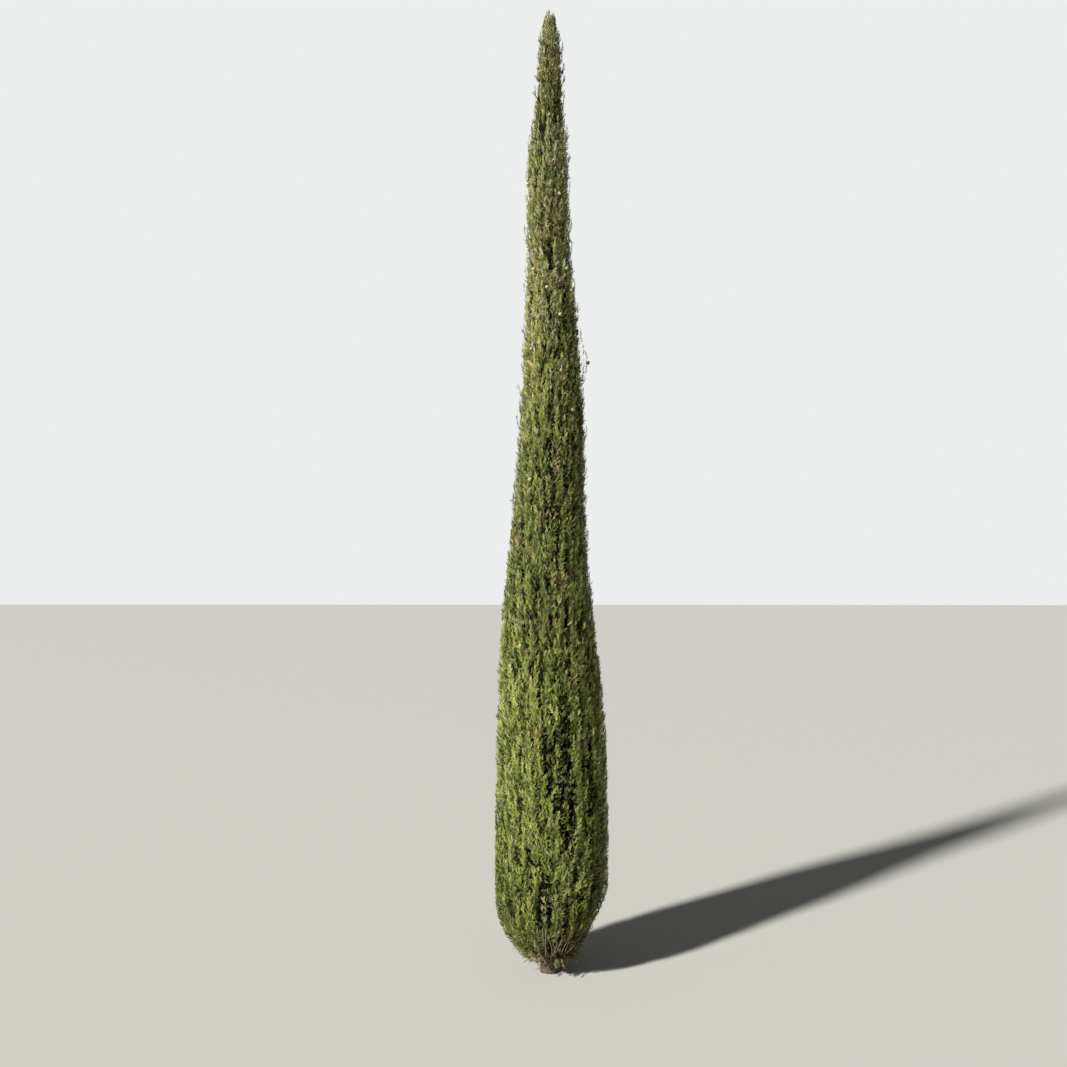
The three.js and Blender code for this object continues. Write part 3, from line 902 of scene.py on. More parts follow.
    def bowl_shoots(self, draws: RuleRandom, growth: Draws) -> list[Shoot]:
        """Shoots under the crown: the skirts of the solids, and finer ones that sweep up.

        Args:
            draws: the plume's random numbers.
            growth: random numbers.

        Returns:
            The shoots.
        """
        space, spray = self.space, 0.8 * self.stage.twig_spray
        shoots = []
        for i in range(RULE.skirt_sprays):
            side = RULE.skirt_spread * (2 * (i + 0.5) / RULE.skirt_sprays - 1)
            z = space.below.height + space.lift + RULE.skirt_root_rise
            tip_height = space.below.height + draws.draw(*RULE.skirt_tip_shares) * space.lift
            tip = float(space.reach(side, tip_height))
            path = space.point(
                side,
                [tip - RULE.skirt_run, tip - 0.3 * spray, tip - 0.5 * spray],
                [z, z - RULE.skirt_bend * (z - tip_height), tip_height + 0.3 * spray],
            )
            shoots.append(Shoot(path, spray, spray, 6))
        for i in range(self.BOWL_SHOOTS):
            side = 2 * (growth.random() + i) / self.BOWL_SHOOTS - 1
            tip_height = growth.uniform(*self.BOWL_TIPS)
            tip = float(space.reach(side, tip_height)) * growth.uniform(*self.BOWL_REACHES)
            root_height = growth.uniform(*self.BOWL_ROOTS)
            bend_height = 0.55 * tip_height + 0.25 * root_height
            bend = 0.93 * float(space.reach(side, bend_height))
            path = space.point(
                side,
                [0.35 * tip, bend, tip - 0.5 * spray],
                [root_height, bend_height, tip_height - 0.4 * spray],
            )
            length = float(np.linalg.norm(path[2] - path[0]))
            sprays = max(5, round(length / (self.SPRAY_STEP * spray)))
            shoots.append(Shoot(path, spray, spray, sprays))
        return shoots

    def grow(self, growth: Draws) -> tuple[list[Shoot], list[Cone]]:
        """Grows the plume, first by the solids' rule and then between its shoots.

        Args:
            growth: random numbers.

        Returns:
            The shoots and the seed cones.
        """
        draws = RuleRandom(self.seed)
        phase = draws.draw()
        shoots = []
        for i in range(self.stage.sprays):
            share = RULE.top_share * (i + draws.draw(*RULE.step_shares)) / self.stage.sprays
            side = RULE.spread * (2 * ((phase + i * GOLDEN) % 1) - 1)
            shoot = self.rule_shoot(share, side, draws)
            if shoot is not None:
                shoots.append(shoot)
        if self.space.lift:
            shoots += self.bowl_shoots(draws, growth)
        cones = [self.rule_cone(draws) for _ in range(self.stage.seed_cones)]
        return shoots + self.finer_shoots(growth), cones

    def rule_cone(self, draws: RuleRandom) -> Cone:
        """A seed cone where the solids have one."""
        share, side = draws.draw(*RULE.cone_shares), draws.draw(*RULE.cone_sides)
        return self.cone_at(share, side, RULE.cone_radius)

    def cone_at(self, share: float, side: float, radius: float) -> Cone:
        """A seed cone near the crown's face.

        Args:
            share: its height as a share of the plume's.
            side: its place across the sector.
            radius: the cone's radius.

        Returns:
            The cone, its middle set back from the crown's reach.
        """
        z = self.space.height_at(self.space.belt(side), share)
        sink = self.CONE_SINKS[0 if z > self.CONES_SHOW_FROM else 1]
        out = float(self.space.reach(side, z)) - sink * radius
        place = self.space.point(side, out, z)
        away = self.space.point(side, out + 1.0, z + 0.6) - place
        return Cone(place, unit(away), radius)


def sectors_of(stage: Stage) -> list[Pair]:
    """Divides a stage into sectors.

    Args:
        stage: the stage.

    Returns:
        The middle azimuth and half the angle of each sector.
    """
    pitch = math.tau / stage.sectors

    def wall_at(k: int) -> float:
        """Azimuth of a wall, a little off an even spacing."""
        jitter = RULE.sector_jitter * math.sin(RULE.sector_beat * (k % stage.sectors))
        return stage.turn + pitch * (k + jitter)

    walls = [wall_at(k) for k in range(stage.sectors + 1)]
    return [((a + b) / 2, (b - a) / 2) for a, b in zip(walls, walls[1:])]


def all_plumes() -> list[Plume]:
    """Every plume from the ground up, in the order in which the solids' seeds were dealt.

    Returns:
        The plumes.
    """
    plumes = []
    seed = RULE.first_seed
    first = GROUND
    for stage in STAGES:
        centre = tuple(CROWN.axis((first.height + stage.top.height) / 2))
        for k, (azimuth, half_angle) in enumerate(sectors_of(stage)):
            between = [joint.moved(1 if k % 2 else -1) for joint in stage.joints]
            edges = [first, *between, stage.top]
            for tier, (below, above) in enumerate(zip(edges, edges[1:])):
                lift = stage.lift if tier == 0 else 0.0
                space = PlumeSpace(
                    centre, azimuth, half_angle, stage.inner_reach, below, above, lift
                )
                seed += RULE.seed_step
                plumes.append(Plume(stage, tier, "abcdefg"[k], space, seed))
        first = stage.top
    return plumes


@dataclass(frozen=True)
class Leader:
    """The green leader over the trunk's tip, with sprays all round it."""

    node: str = "foliage_leader"
    top: float = 3.985
    tip_radius: float = 0.002
    sprays: int = 13
    spray_length: float = 0.120
    sizes: Pair = (0.85, 1.15)
    start: float = 0.010
    bend_reach: float = 0.8
    bend_rise: float = 0.4
    finer: int = 170
    finer_rises: Pair = (-0.14, 0.20)  # of their roots over the trunk's top
    finer_sizes: Pair = (0.4, 0.75)
    finer_shares: Pair = (0.8, 1.0)
    twig_spray: float = 0.024
    spray_step: float = 0.36  # distance between sprays on a shoot, in spray lengths
    splay: float = 48.0
    shoulder: float = 3.940  # height that its other shoots end at, under the spire
    slant: float = 0.022  # by which they end higher or lower
    slant_waves: int = 7  # round the leader
    spire_rises: tuple[float, ...] = (-0.050, -0.005, 0.021)  # over the shoulder
    spire_leans: tuple[float, ...] = (0.006, 0.006, 0.009)  # to the side of -X

    def shoot(self, z: float, azimuth: float, size: float, share: float) -> Shoot:
        """One shoot of the leader.

        Args:
            z: height of its root.
            azimuth: its side of the leader, in radians.
            size: its height.
            share: its reach as a share of the crown's radius.

        Returns:
            The shoot.
        """
        stand = 0.2 * self.twig_spray
        slant = self.slant * math.sin(self.slant_waves * azimuth)
        tip_height = min(z + size, self.shoulder + slant)
        heights = np.array([z, z + self.bend_rise * size, tip_height])
        reach = CROWN.radius(heights, azimuth) * share
        bend = max(self.bend_reach * reach[1] - stand, 2 * self.tip_radius)
        out = np.array([self.tip_radius, bend, max(reach[2] - stand, 0.5 * self.tip_radius)])
        path = CROWN.path(heights, out, azimuth)
        path[:, 0] -= CROWN.lean(heights)
        sprays = max(4, round(size / (self.spray_step * self.twig_spray)))
        return Shoot(path, self.twig_spray, 0.8 * self.twig_spray, sprays, self.splay)

    def grow(self, seed: int, growth: Draws) -> list[Shoot]:
        """Grows the leader's shoots by the solids' rule, and finer ones between them.

        Args:
            seed: seed of the solid's own random numbers.
            growth: random numbers.

        Returns:
            The shoots.
        """
        draws = RuleRandom(seed)
        run = self.top - TRUNK.top - self.spray_length
        shoots = []
        for i in range(self.sprays):
            z = TRUNK.top + self.start + run * i / (self.sprays - 1)
            size = self.spray_length * draws.draw(*self.sizes)
            draws.draw()  # the roll of the solid's blade
            shoots.append(self.shoot(z, math.pi * (2 * ((i * GOLDEN) % 1) - 1), size, 1.0))
        for i in range(self.finer):
            z = TRUNK.top + growth.uniform(*self.finer_rises)
            size = self.spray_length * growth.uniform(*self.finer_sizes)
            azimuth = math.tau * ((i * GOLDEN) % 1)
            share = growth.uniform(*self.finer_shares)
            shoots.append(self.shoot(z, azimuth, size, share))
        heights = self.shoulder + np.array(self.spire_rises)
        spire = CROWN.path(heights, 0.0, 0.0)
        spire[:, 0] -= self.spire_leans
        shoots.append(Shoot(spire, 1.5 * self.twig_spray, 1.35 * self.twig_spray, 22, 13.0))
        return shoots


class Tint(Enum):
    """Tints of the foliage, each a plain base colour, from the shaded inside to the tips."""

    DEEP = ("deep_green", "#4c5526")
    MOSS = ("moss_green", "#626b31")
    OLIVE = ("olive_green", "#768039")
    LEAF = ("leaf_green", "#869042")
    FRESH = ("fresh_green", "#969f4c")
    PALE = ("pale_tip", "#afb26f")
    SEA = ("sea_green", "#75845f")
    # painted sky glow: grey pale tips that stand in for the sky's light and haze on the upper
    # crown
    HAZE = ("grey_tip", "#a9ab90")
    STRAW = ("straw_olive", "#9b9160")
    DRY = ("dry_brown", "#7d6b45")


GREENS = (Tint.DEEP, Tint.MOSS, Tint.OLIVE, Tint.LEAF, Tint.FRESH, Tint.PALE)


def add_node(
    tree: NodeTree,
    kind: str,
    settings: dict[str, object] | None = None,
    links: dict[str, Node | NodeSocket] | None = None,
) -> Node:
    """Adds one node to a shader.

    Args:
        tree: the shader's node tree.
        kind: the node's type, such as "ShaderNodeBump".
        settings: values of its properties, or of its input sockets by their names.
        links: what feeds its inputs, by their names: a socket, or a node by its first output.

    Returns:
        The node.
    """
    node = tree.nodes.new(kind)
    for name, value in (settings or {}).items():
        if hasattr(node, name):
            setattr(node, name, value)
        else:
            node.inputs[name].default_value = value
    for name, source in (links or {}).items():
        socket = source if isinstance(source, NodeSocket) else source.outputs[0]
        tree.links.new(socket, node.inputs[name])
    return node


def new_material(name: str) -> tuple[Material, NodeTree]:
    """Makes an empty node material.

    Args:
        name: the material's name.

    Returns:
        The material and its node tree.
    """
    material = bpy.data.materials.new(name)
    material.use_nodes = True
    material.node_tree.nodes.clear()
    return material, material.node_tree


def set_ramp(node: Node, stops: tuple[tuple[float, str], ...]) -> Node:
    """Gives a colour ramp its stops.

    Args:
        node: the colour ramp.
        stops: place and hex colour of each stop, from low to high.

    Returns:
        The same node.
    """
    elements = node.color_ramp.elements
    while len(elements) < len(stops):
        elements.new(0.5)
    for element, (place, colour) in zip(elements, stops):
        element.position = place
        element.color = linear(colour)
    return node


def finish_off(
    tree: NodeTree,
    surface: dict[str, object],
    height: Node,
    relief: Pair,
    colour: Node | None = None,
) -> None:
    """Ends a material with the relief of its pattern, its surface and its output.

    Args:
        tree: the material's node tree.
        surface: values of the surface's sockets.
        height: the pattern's height.
        relief: how strongly the pattern shows, and how deep it is.
        colour: what feeds the base colour, where it isn't plain.
    """
    settings = {"Strength": relief[0], "Distance": relief[1]}
    bump = add_node(tree, "ShaderNodeBump", settings, {"Height": height})
    links = {"Normal": bump}
    if colour is not None:
        links["Base Color"] = colour
    shader = add_node(tree, "ShaderNodeBsdfPrincipled", surface, links)
    add_node(tree, "ShaderNodeOutputMaterial", links={"Surface": shader})


@dataclass(frozen=True)
class ScaleLeafFinish:
    """Living scale leaves: a matt waxy green skin of tiny overlapping scales.

    The wax keeps the highlights broad and faint, and the scales break them up.
    """

    tint: Tint
    roughness: float = 0.58
    leaf_ior: float = 1.45
    gloss: float = 0.3
    scale_leaf: float = 0.0024  # a real one is 1 mm long, drawn larger so that it shows
    unevenness: float = 0.8  # of their shapes
    relief: Pair = (0.5, 0.0004)

    def material(self) -> Material:
        """Makes the material, its base colour plain and its scales in the bump.

        Returns:
            The material.
        """
        name, colour = self.tint.value
        material, tree = new_material(f"scale_leaves_{name}")
        place = add_node(tree, "ShaderNodeTexCoord")
        scales = add_node(
            tree,
            "ShaderNodeTexVoronoi",
            {"Scale": 1 / self.scale_leaf, "Randomness": self.unevenness},
            {"Vector": place.outputs["Object"]},
        )
        surface = {
            "Base Color": linear(colour),
            "Roughness": self.roughness,
            "IOR": self.leaf_ior,
            "Specular IOR Level": self.gloss,
        }
        finish_off(tree, surface, scales, self.relief)
        return material


@dataclass(frozen=True)
class BarkFinish:
    """Cypress bark: thin grey-brown fibres in long shallow strips, redder in the furrows."""

    roughness: float = 0.88
    strip_width: float = 0.009  # a strip of bark round the trunk
    strip_length: float = 0.110
    fibre: float = 0.0016
    # partly painted shade: these colours are darker than the bark's own, as the trunk stands in
    # the crown's shadow
    stops: tuple[tuple[float, str], ...] = (
        (0.30, "#2a2018"), (0.45, "#483a2d"), (0.58, "#5e5040"), (0.75, "#766a5b")
    )
    fibre_share: float = 0.35  # of the relief
    relief: Pair = (0.6, 0.0012)

    def material(self) -> Material:
        """Makes the material: strips and fibres drawn out along the trunk.

        Returns:
            The material.
        """
        material, tree = new_material("fibrous_cypress_bark")
        place = add_node(tree, "ShaderNodeTexCoord")
        scale = {"Scale": (1.0, 1.0, self.strip_width / self.strip_length)}
        place = {"Vector": place.outputs["Object"]}
        along = {"Vector": add_node(tree, "ShaderNodeMapping", scale, place)}
        wide = {"Scale": 1 / self.strip_width, "Detail": 5.0, "Roughness": 0.6}
        strips = add_node(tree, "ShaderNodeTexNoise", wide, along)
        fine = {"Scale": 1 / self.fibre, "Detail": 2.0, "Roughness": 0.5}
        fibres = add_node(tree, "ShaderNodeTexNoise", fine, along)
        ramp = add_node(tree, "ShaderNodeValToRGB", links={"Fac": strips})
        colour = set_ramp(ramp, self.stops)
        height = add_node(
            tree,
            "ShaderNodeMix",
            {"data_type": "FLOAT", "Factor": self.fibre_share},
            {"A": strips, "B": fibres},
        )
        surface = {"Roughness": self.roughness}
        finish_off(tree, surface, height, self.relief, colour)
        return material


@dataclass(frozen=True)
class DryFinish:
    """A dry matt skin, with one pattern that its relief and its colour follow."""

    name: str
    stops: tuple[tuple[float, str], ...]  # places in the pattern and their colours, or one colour
    grain: float  # size of the pattern
    roughness: float
    relief: Pair
    detail: float = 4.0
    harshness: float = 0.5  # of the pattern's finer parts
    upright: float = 1.0  # the pattern's width as a share of its height
    gloss: float = 0.5

    def material(self) -> Material:
        """Makes the material.

        Returns:
            The material.
        """
        material, tree = new_material(self.name)
        place = add_node(tree, "ShaderNodeTexCoord").outputs["Object"]
        if self.upright < 1:
            scale = {"Scale": (1.0, 1.0, self.upright)}
            place = add_node(tree, "ShaderNodeMapping", scale, {"Vector": place})
        settings = {"Scale": 1 / self.grain, "Detail": self.detail, "Roughness": self.harshness}
        pattern = add_node(tree, "ShaderNodeTexNoise", settings, {"Vector": place})
        surface = {"Roughness": self.roughness, "Specular IOR Level": self.gloss}
        colour = None
        if len(self.stops) > 1:
            ramp = add_node(tree, "ShaderNodeValToRGB", links={"Fac": pattern})
            colour = set_ramp(ramp, self.stops)
        else:
            surface["Base Color"] = linear(self.stops[0][1])
        finish_off(tree, surface, pattern, self.relief, colour)
        return material


# young wood has smooth thin bark, matt, with a little grain along the twig
YOUNG_WOOD = DryFinish(
    "young_cypress_wood", ((0.5, "#46352a"),), 0.003, 0.8, (0.4, 0.0004), detail=2.0
)
# dead wood is bleached by sun and rain, so it stands out pale
DEAD_WOOD = replace(YOUNG_WOOD, name="dead_cypress_wood", stops=((0.5, "#a08f76"),))
# old leaves and twigs with no light on them look dark green and brown, in upright clumps
SHADED_FOLIAGE = DryFinish(
    "shaded_old_foliage",
    ((0.35, "#0d1106"), (0.5, "#171c0b"), (0.62, "#222411"), (0.75, "#2c2214")),
    0.018, 0.95, (0.8, 0.006), harshness=0.65, upright=0.35, gloss=0.05,
)
# old seed cones are dry woody shields, matt and mottled, that weather from tan to grey; the dark
# cones on the outline wear this grey as painted shade
GREY_CONES = DryFinish(
    "weathered_and_shaded_cone_scales",
    ((0.32, "#3a3226"), (0.5, "#5a5140"), (0.68, "#7c7258")),
    0.007, 0.78, (0.5, 0.0006),
)
PALE_CONES = replace(
    GREY_CONES,
    name="pale_ripe_cone_scales",
    stops=((0.32, "#857a52"), (0.5, "#a89d70"), (0.68, "#c4b98c")),
)


def settle(piece: Object, nodes: list[str]) -> Object:
    """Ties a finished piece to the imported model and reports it.

    Args:
        piece: the finished piece.
        nodes: the solids that it stands for.

    Returns:
        The same piece.
    """
    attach(piece, BODY)
    if nodes:
        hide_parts(*nodes)
    LOG.info("%s: %d triangles", piece.name, len(piece.data.polygons))
    return piece


class SprayShape:
    """The mesh of a spray one unit long: a slim main twig with pointed side twigs round it."""

    BELLY = 0.36  # where a twig is widest, as a share of its length
    MAIN_RADIUS = 0.055
    MAIN_FOLD = 0.5  # how deeply the main twig is folded, in its half widths
    SIDE_WIDTH = 0.082
    SIDE_FEET = (0.02, 0.78)  # the lowest one's place on the main twig, and their run
    SIDE_LENGTH = 0.54
    SIDE_LENGTHS = (0.65, 1.15)  # of that
    SIDE_TAPER = 0.62  # how much shorter side twigs would be at the tip
    SIDE_ANGLES = (18, 46)  # degrees off the main twig
    SIDE_TURN = 0.4  # radians that one is off its place round the main twig
    FLATNESS = 0.62  # depth of a spray as a share of its width
    BOWS = ((-0.16, 0.06), (-0.12, 0.12))  # of a spray's tip, to its back and to its side

    def __init__(self, draws: Draws, side_twigs: int = 10) -> None:
        """Lays out the twigs.

        Args:
            draws: random numbers that make one spray unlike the next.
            side_twigs: side twigs all round the main one.
        """
        parts = [self.main_twig()]
        lowest, run = self.SIDE_FEET
        for i in range(side_twigs):
            foot = lowest + run * (i + draws.uniform(0.1, 0.9)) / side_twigs
            size = self.SIDE_LENGTH * (1 - self.SIDE_TAPER * foot)
            length = size * draws.uniform(*self.SIDE_LENGTHS)
            angle = math.radians(draws.uniform(*self.SIDE_ANGLES))
            turn = math.tau * i * GOLDEN + draws.uniform(-self.SIDE_TURN, self.SIDE_TURN)
            out = np.array([math.cos(turn), math.sin(turn), 0.0])
            along = math.cos(angle) * UP + math.sin(angle) * out
            roll = draws.uniform(-math.pi, math.pi)
            parts.append(self.side_twig(foot * UP, along, length, roll))
        points, self.triangles = joined(parts)
        points[:, 1] *= self.FLATNESS
        for axis, bow in zip((1, 0), self.BOWS):
            points[:, axis] += draws.uniform(*bow) * points[:, 2] ** 2
        self.points = points

    def main_twig(self) -> Mesh:
        """The main twig, a pointed blade folded along its middle.

        Returns:
            Its corners and triangles.
        """
        fold = self.MAIN_FOLD * self.MAIN_RADIUS
        edges = [[side * self.MAIN_RADIUS, -fold, self.BELLY] for side in (1, -1)]
        return np.array([[0, 0, 0], UP, *edges]), np.array([[0, 1, 2], [0, 3, 1]])

    def side_twig(self, foot: Array, along: Array, length: float, roll: float) -> Mesh:
        """One side twig, a slim pointed blade that is wider on one side.

        Args:
            foot: where it starts.
            along: its direction, a unit vector.
            length: its length.
            roll: its turn about its length, in radians.

        Returns:
            Its corners and triangle.
        """
        across = unit(np.cross(along, UP))
        keel = np.cross(along, across)
        wide = math.cos(roll) * across + math.sin(roll) * keel
        belly = foot + self.BELLY * length * along + self.SIDE_WIDTH * wide
        return np.vstack([foot, foot + length * along, belly]), np.array([[0, 1, 2]])


@dataclass
class Sprays:
    """Many sprays: where each starts, which way it points and faces, its length and tint."""

    foot: Array
    along: Array
    face: Array
    length: Array
    level: Array  # how far up its shoot, 0 to 1
    vigour_and_shade: Array
    tint: Array  # number of its tint


@dataclass(frozen=True)
class Slit:
    """A narrow upright gap between branches, which shows the shaded inside of the crown."""

    azimuth: float
    foot: float
    top: float
    half_width: float
    wave: float
    strays: float = 0.12  # share of the sprays in it that stay

    def holds(self, places: Places, depth: float) -> Array:
        """Which places lie in the gap.

        Args:
            places: places on the crown.
            depth: how far in the gap reaches, as a share of the crown's radius.

        Returns:
            A true or false for each place.
        """
        t = (2 * places.z - self.foot - self.top) / (self.top - self.foot)
        half_width = self.half_width * np.sqrt(np.clip(1 - t**2, 0, 1))
        turned = places.turned_from(self.azimuth)
        aside = np.abs(turned * places.distance - self.wave * np.sin(3 * t))
        shallow = places.distance >= depth * CROWN.radius(places.z, self.azimuth)
        return (aside < half_width) & shallow & (np.abs(turned) < 1)


@dataclass(frozen=True)
class DriedPatch:
    """A place on the crown where twigs have dried and the leaves are thin and brown."""

    azimuth: float
    height: float
    radius: float
    strength: float
    stretch: float = 1.7  # how much higher than wide

    def at(self, places: Places) -> Array:
        """How dried the foliage is.

        Args:
            places: places on the crown.

        Returns:
            From 0 to the patch's strength for each place.
        """
        aside = places.turned_from(self.azimuth) * places.distance
        above = (places.z - self.height) / self.stretch
        return self.strength * np.exp(-(aside**2 + above**2) / self.radius**2)


@dataclass(frozen=True)
class SlitPattern:
    """Slits over one stretch of the crown."""

    foot: float
    top: float
    count: int
    lengths: Pair
    half_widths: Pair

    def slits(self, draws: Draws) -> list[Slit]:
        """Spreads the slits evenly over the stretch.

        Args:
            draws: random numbers.

        Returns:
            The slits.
        """
        made = []
        for i in range(self.count):
            middle = self.foot + (self.top - self.foot) * (i + draws.random()) / self.count
            length = draws.uniform(*self.lengths)
            azimuth = math.tau * i * GOLDEN + draws.uniform(-0.2, 0.2)
            ends = (middle - 0.5 * length, middle + 0.5 * length)
            half_width = draws.uniform(*self.half_widths)
            made.append(Slit(azimuth, *ends, half_width, draws.uniform(-0.006, 0.006)))
        return made


class TintRule:
    """How tints are dealt: greens by tone, from deep to pale, and others by chance."""

    TONE = 2.0  # of a usual spray at the root of its shoot
    TONE_CHANCES = (0.9, 0.3)  # spread by chance, everywhere and more at the top
    LEVEL = 1.5  # paler towards the shoot's tip
    # weight of the shoots' vigour, which on the inner shoots stands for painted shade
    VIGOUR_AND_SHADE = 0.5
    PATCHES = 0.6
    TUFTS = 0.55
    TOP = Slope(3.35, 0.25)
    # paler or darker by how much, and the slopes over which that comes and goes
    STRETCHES = (
        (-0.60, Slope(1.10, 0.60)),
        (-0.90, TOP),
        (0.55, Slope(2.40, 0.40), Slope(3.60, -0.25)),
        (-1.10, Slope(0.60, -0.35)),
        (-0.18, Slope(1.30, 0.30), Slope(2.50, -0.30)),
    )
    FURROW_SHADE = 1.2  # painted shade: darker by this in the crown's upright furrows
    # painted light and shade: paler on the upper crown's tufts, darker in the gaps between them
    TUFT_LIGHT_AND_SHADE = 0.7
    TUFTED_GAP = 0.35  # the mean gap between tufts, which leaves the tone as it is
    THIN = 1.2
    UPWARDS = Slope(1.20, 1.80)
    LOW = Slope(0.50, -0.35)
    BOTTOM = Slope(0.15, -0.08)
    # heights over which the painted sky glow comes in on the upper crown
    HAZY = Slope(2.30, 0.60)
    # chances everywhere, then by height (upwards, top, low, bottom) and in dry and thin places
    STRAW_CHANCES = (0.04, 0.27, 0.0, 0.0, 0.18, 0.40, 0.0)
    DRY_CHANCES = (0.004, 0.0, 0.06, 0.10, 0.24, 0.09, 0.35)
    SEA_CHANCE = 0.05
    HAZE_CHANCE = 0.23
    DRY_FROM = 0.6  # of the dryness's own measure
    THIN_DRYNESS = 0.8
    # side in degrees, height, radius and strength
    DRIED = tuple(
        DriedPatch(math.radians(side), *sizes)
        for side, *sizes in (
            (-77, 1.90, 0.050, 0.75), (-71, 1.56, 0.045, 0.60), (-152, 1.76, 0.035, 0.55),
            (-105, 1.37, 0.055, 0.50), (-62, 1.36, 0.050, 0.45), (-80, 2.10, 0.035, 0.40),
            (-98, 3.10, 0.050, 0.50), (-70, 3.78, 0.050, 0.55), (-118, 3.62, 0.040, 0.40),
            (-110, 0.98, 0.045, 0.35), (-68, 0.10, 0.070, 0.70), (-30, 0.10, 0.060, 0.50),
            (20, 1.20, 0.060, 0.45), (75, 2.00, 0.050, 0.50), (130, 0.90, 0.060, 0.40),
            (160, 2.60, 0.045, 0.45),
        )
    )
    PATCH_RIPPLE = Ripple(seed=23, wave=0.42)
    TUFT_RIPPLE = Ripple(seed=57, wave=0.12)
    DRYNESS_RIPPLE = Ripple(seed=31, wave=0.24)

    def tones(self, sprays: Sprays, places: Places, thin: Array, draws: Draws) -> Array:
        """How pale each spray is.

        Args:
            sprays: the sprays.
            places: where they start.
            thin: how thin and dried the crown is there.
            draws: random numbers.

        Returns:
            Tones, in steps from one green to the next.
        """
        z = places.z
        patch = self.PATCH_RIPPLE.at(sprays.foot * np.array([1, 1, 0.6]))
        tone = self.TONE + self.LEVEL * sprays.level + self.PATCHES * patch
        tone += self.TUFTS * self.TUFT_RIPPLE.at(sprays.foot) + self.VIGOUR_AND_SHADE * sprays.vigour_and_shade
        usual, more = self.TONE_CHANCES
        tone += draws.normal(0, 1, len(z)) * (usual + more * self.TOP.at(z))
        for change, *slopes in self.STRETCHES:
            tone += change * np.prod([slope.at(z) for slope in slopes], 0)
        # painted light on the tufts and painted shade in the gaps between them
        painted_tuft_shade = CROWN.tuft_gap(z, places.azimuth) - self.TUFTED_GAP * (z > CROWN.tufted.start)
        # painted shade: the furrows are darker
        tone -= self.FURROW_SHADE * CROWN.furrow(z, places.azimuth) + self.TUFT_LIGHT_AND_SHADE * painted_tuft_shade
        return tone - self.THIN * thin

    def deal(self, sprays: Sprays, draws: Draws) -> None:
        """Deals a tint to every spray.

        Args:
            sprays: the sprays, whose tint is set.
            draws: random numbers.
        """
        places = CROWN.places(sprays.foot)
        z, count = places.z, len(places.z)
        thin = sum(patch.at(places) for patch in self.DRIED)
        tones = np.round(self.tones(sprays, places, thin, draws))
        tint = np.clip(tones, 0, len(GREENS) - 1).astype(int)
        dried = np.clip(self.DRYNESS_RIPPLE.at(sprays.foot) - self.DRY_FROM, 0, 1)
        dried = dried + self.THIN_DRYNESS * thin
        heights = [slope.at(z) for slope in (self.UPWARDS, self.TOP, self.LOW, self.BOTTOM)]
        causes = np.stack([np.ones(count), *heights, dried, thin])
        chance = draws.random(count)
        straw = (chance < self.STRAW_CHANCES @ causes) & (tint > 0)
        sea = (chance > 1 - self.SEA_CHANCE) & (tint > 1)
        # painted sky glow on the upper crown
        sky_glow = (draws.random(count) < self.HAZE_CHANCE * self.HAZY.at(z)) & (tint > 1)
        dry = draws.random(count) < self.DRY_CHANCES @ causes
        numbers = list(Tint)
        kinds = ((Tint.HAZE, sky_glow), (Tint.STRAW, straw), (Tint.SEA, sea), (Tint.DRY, dry))
        for kind, chosen in kinds:
            tint[chosen] = numbers.index(kind)
        sprays.tint = tint


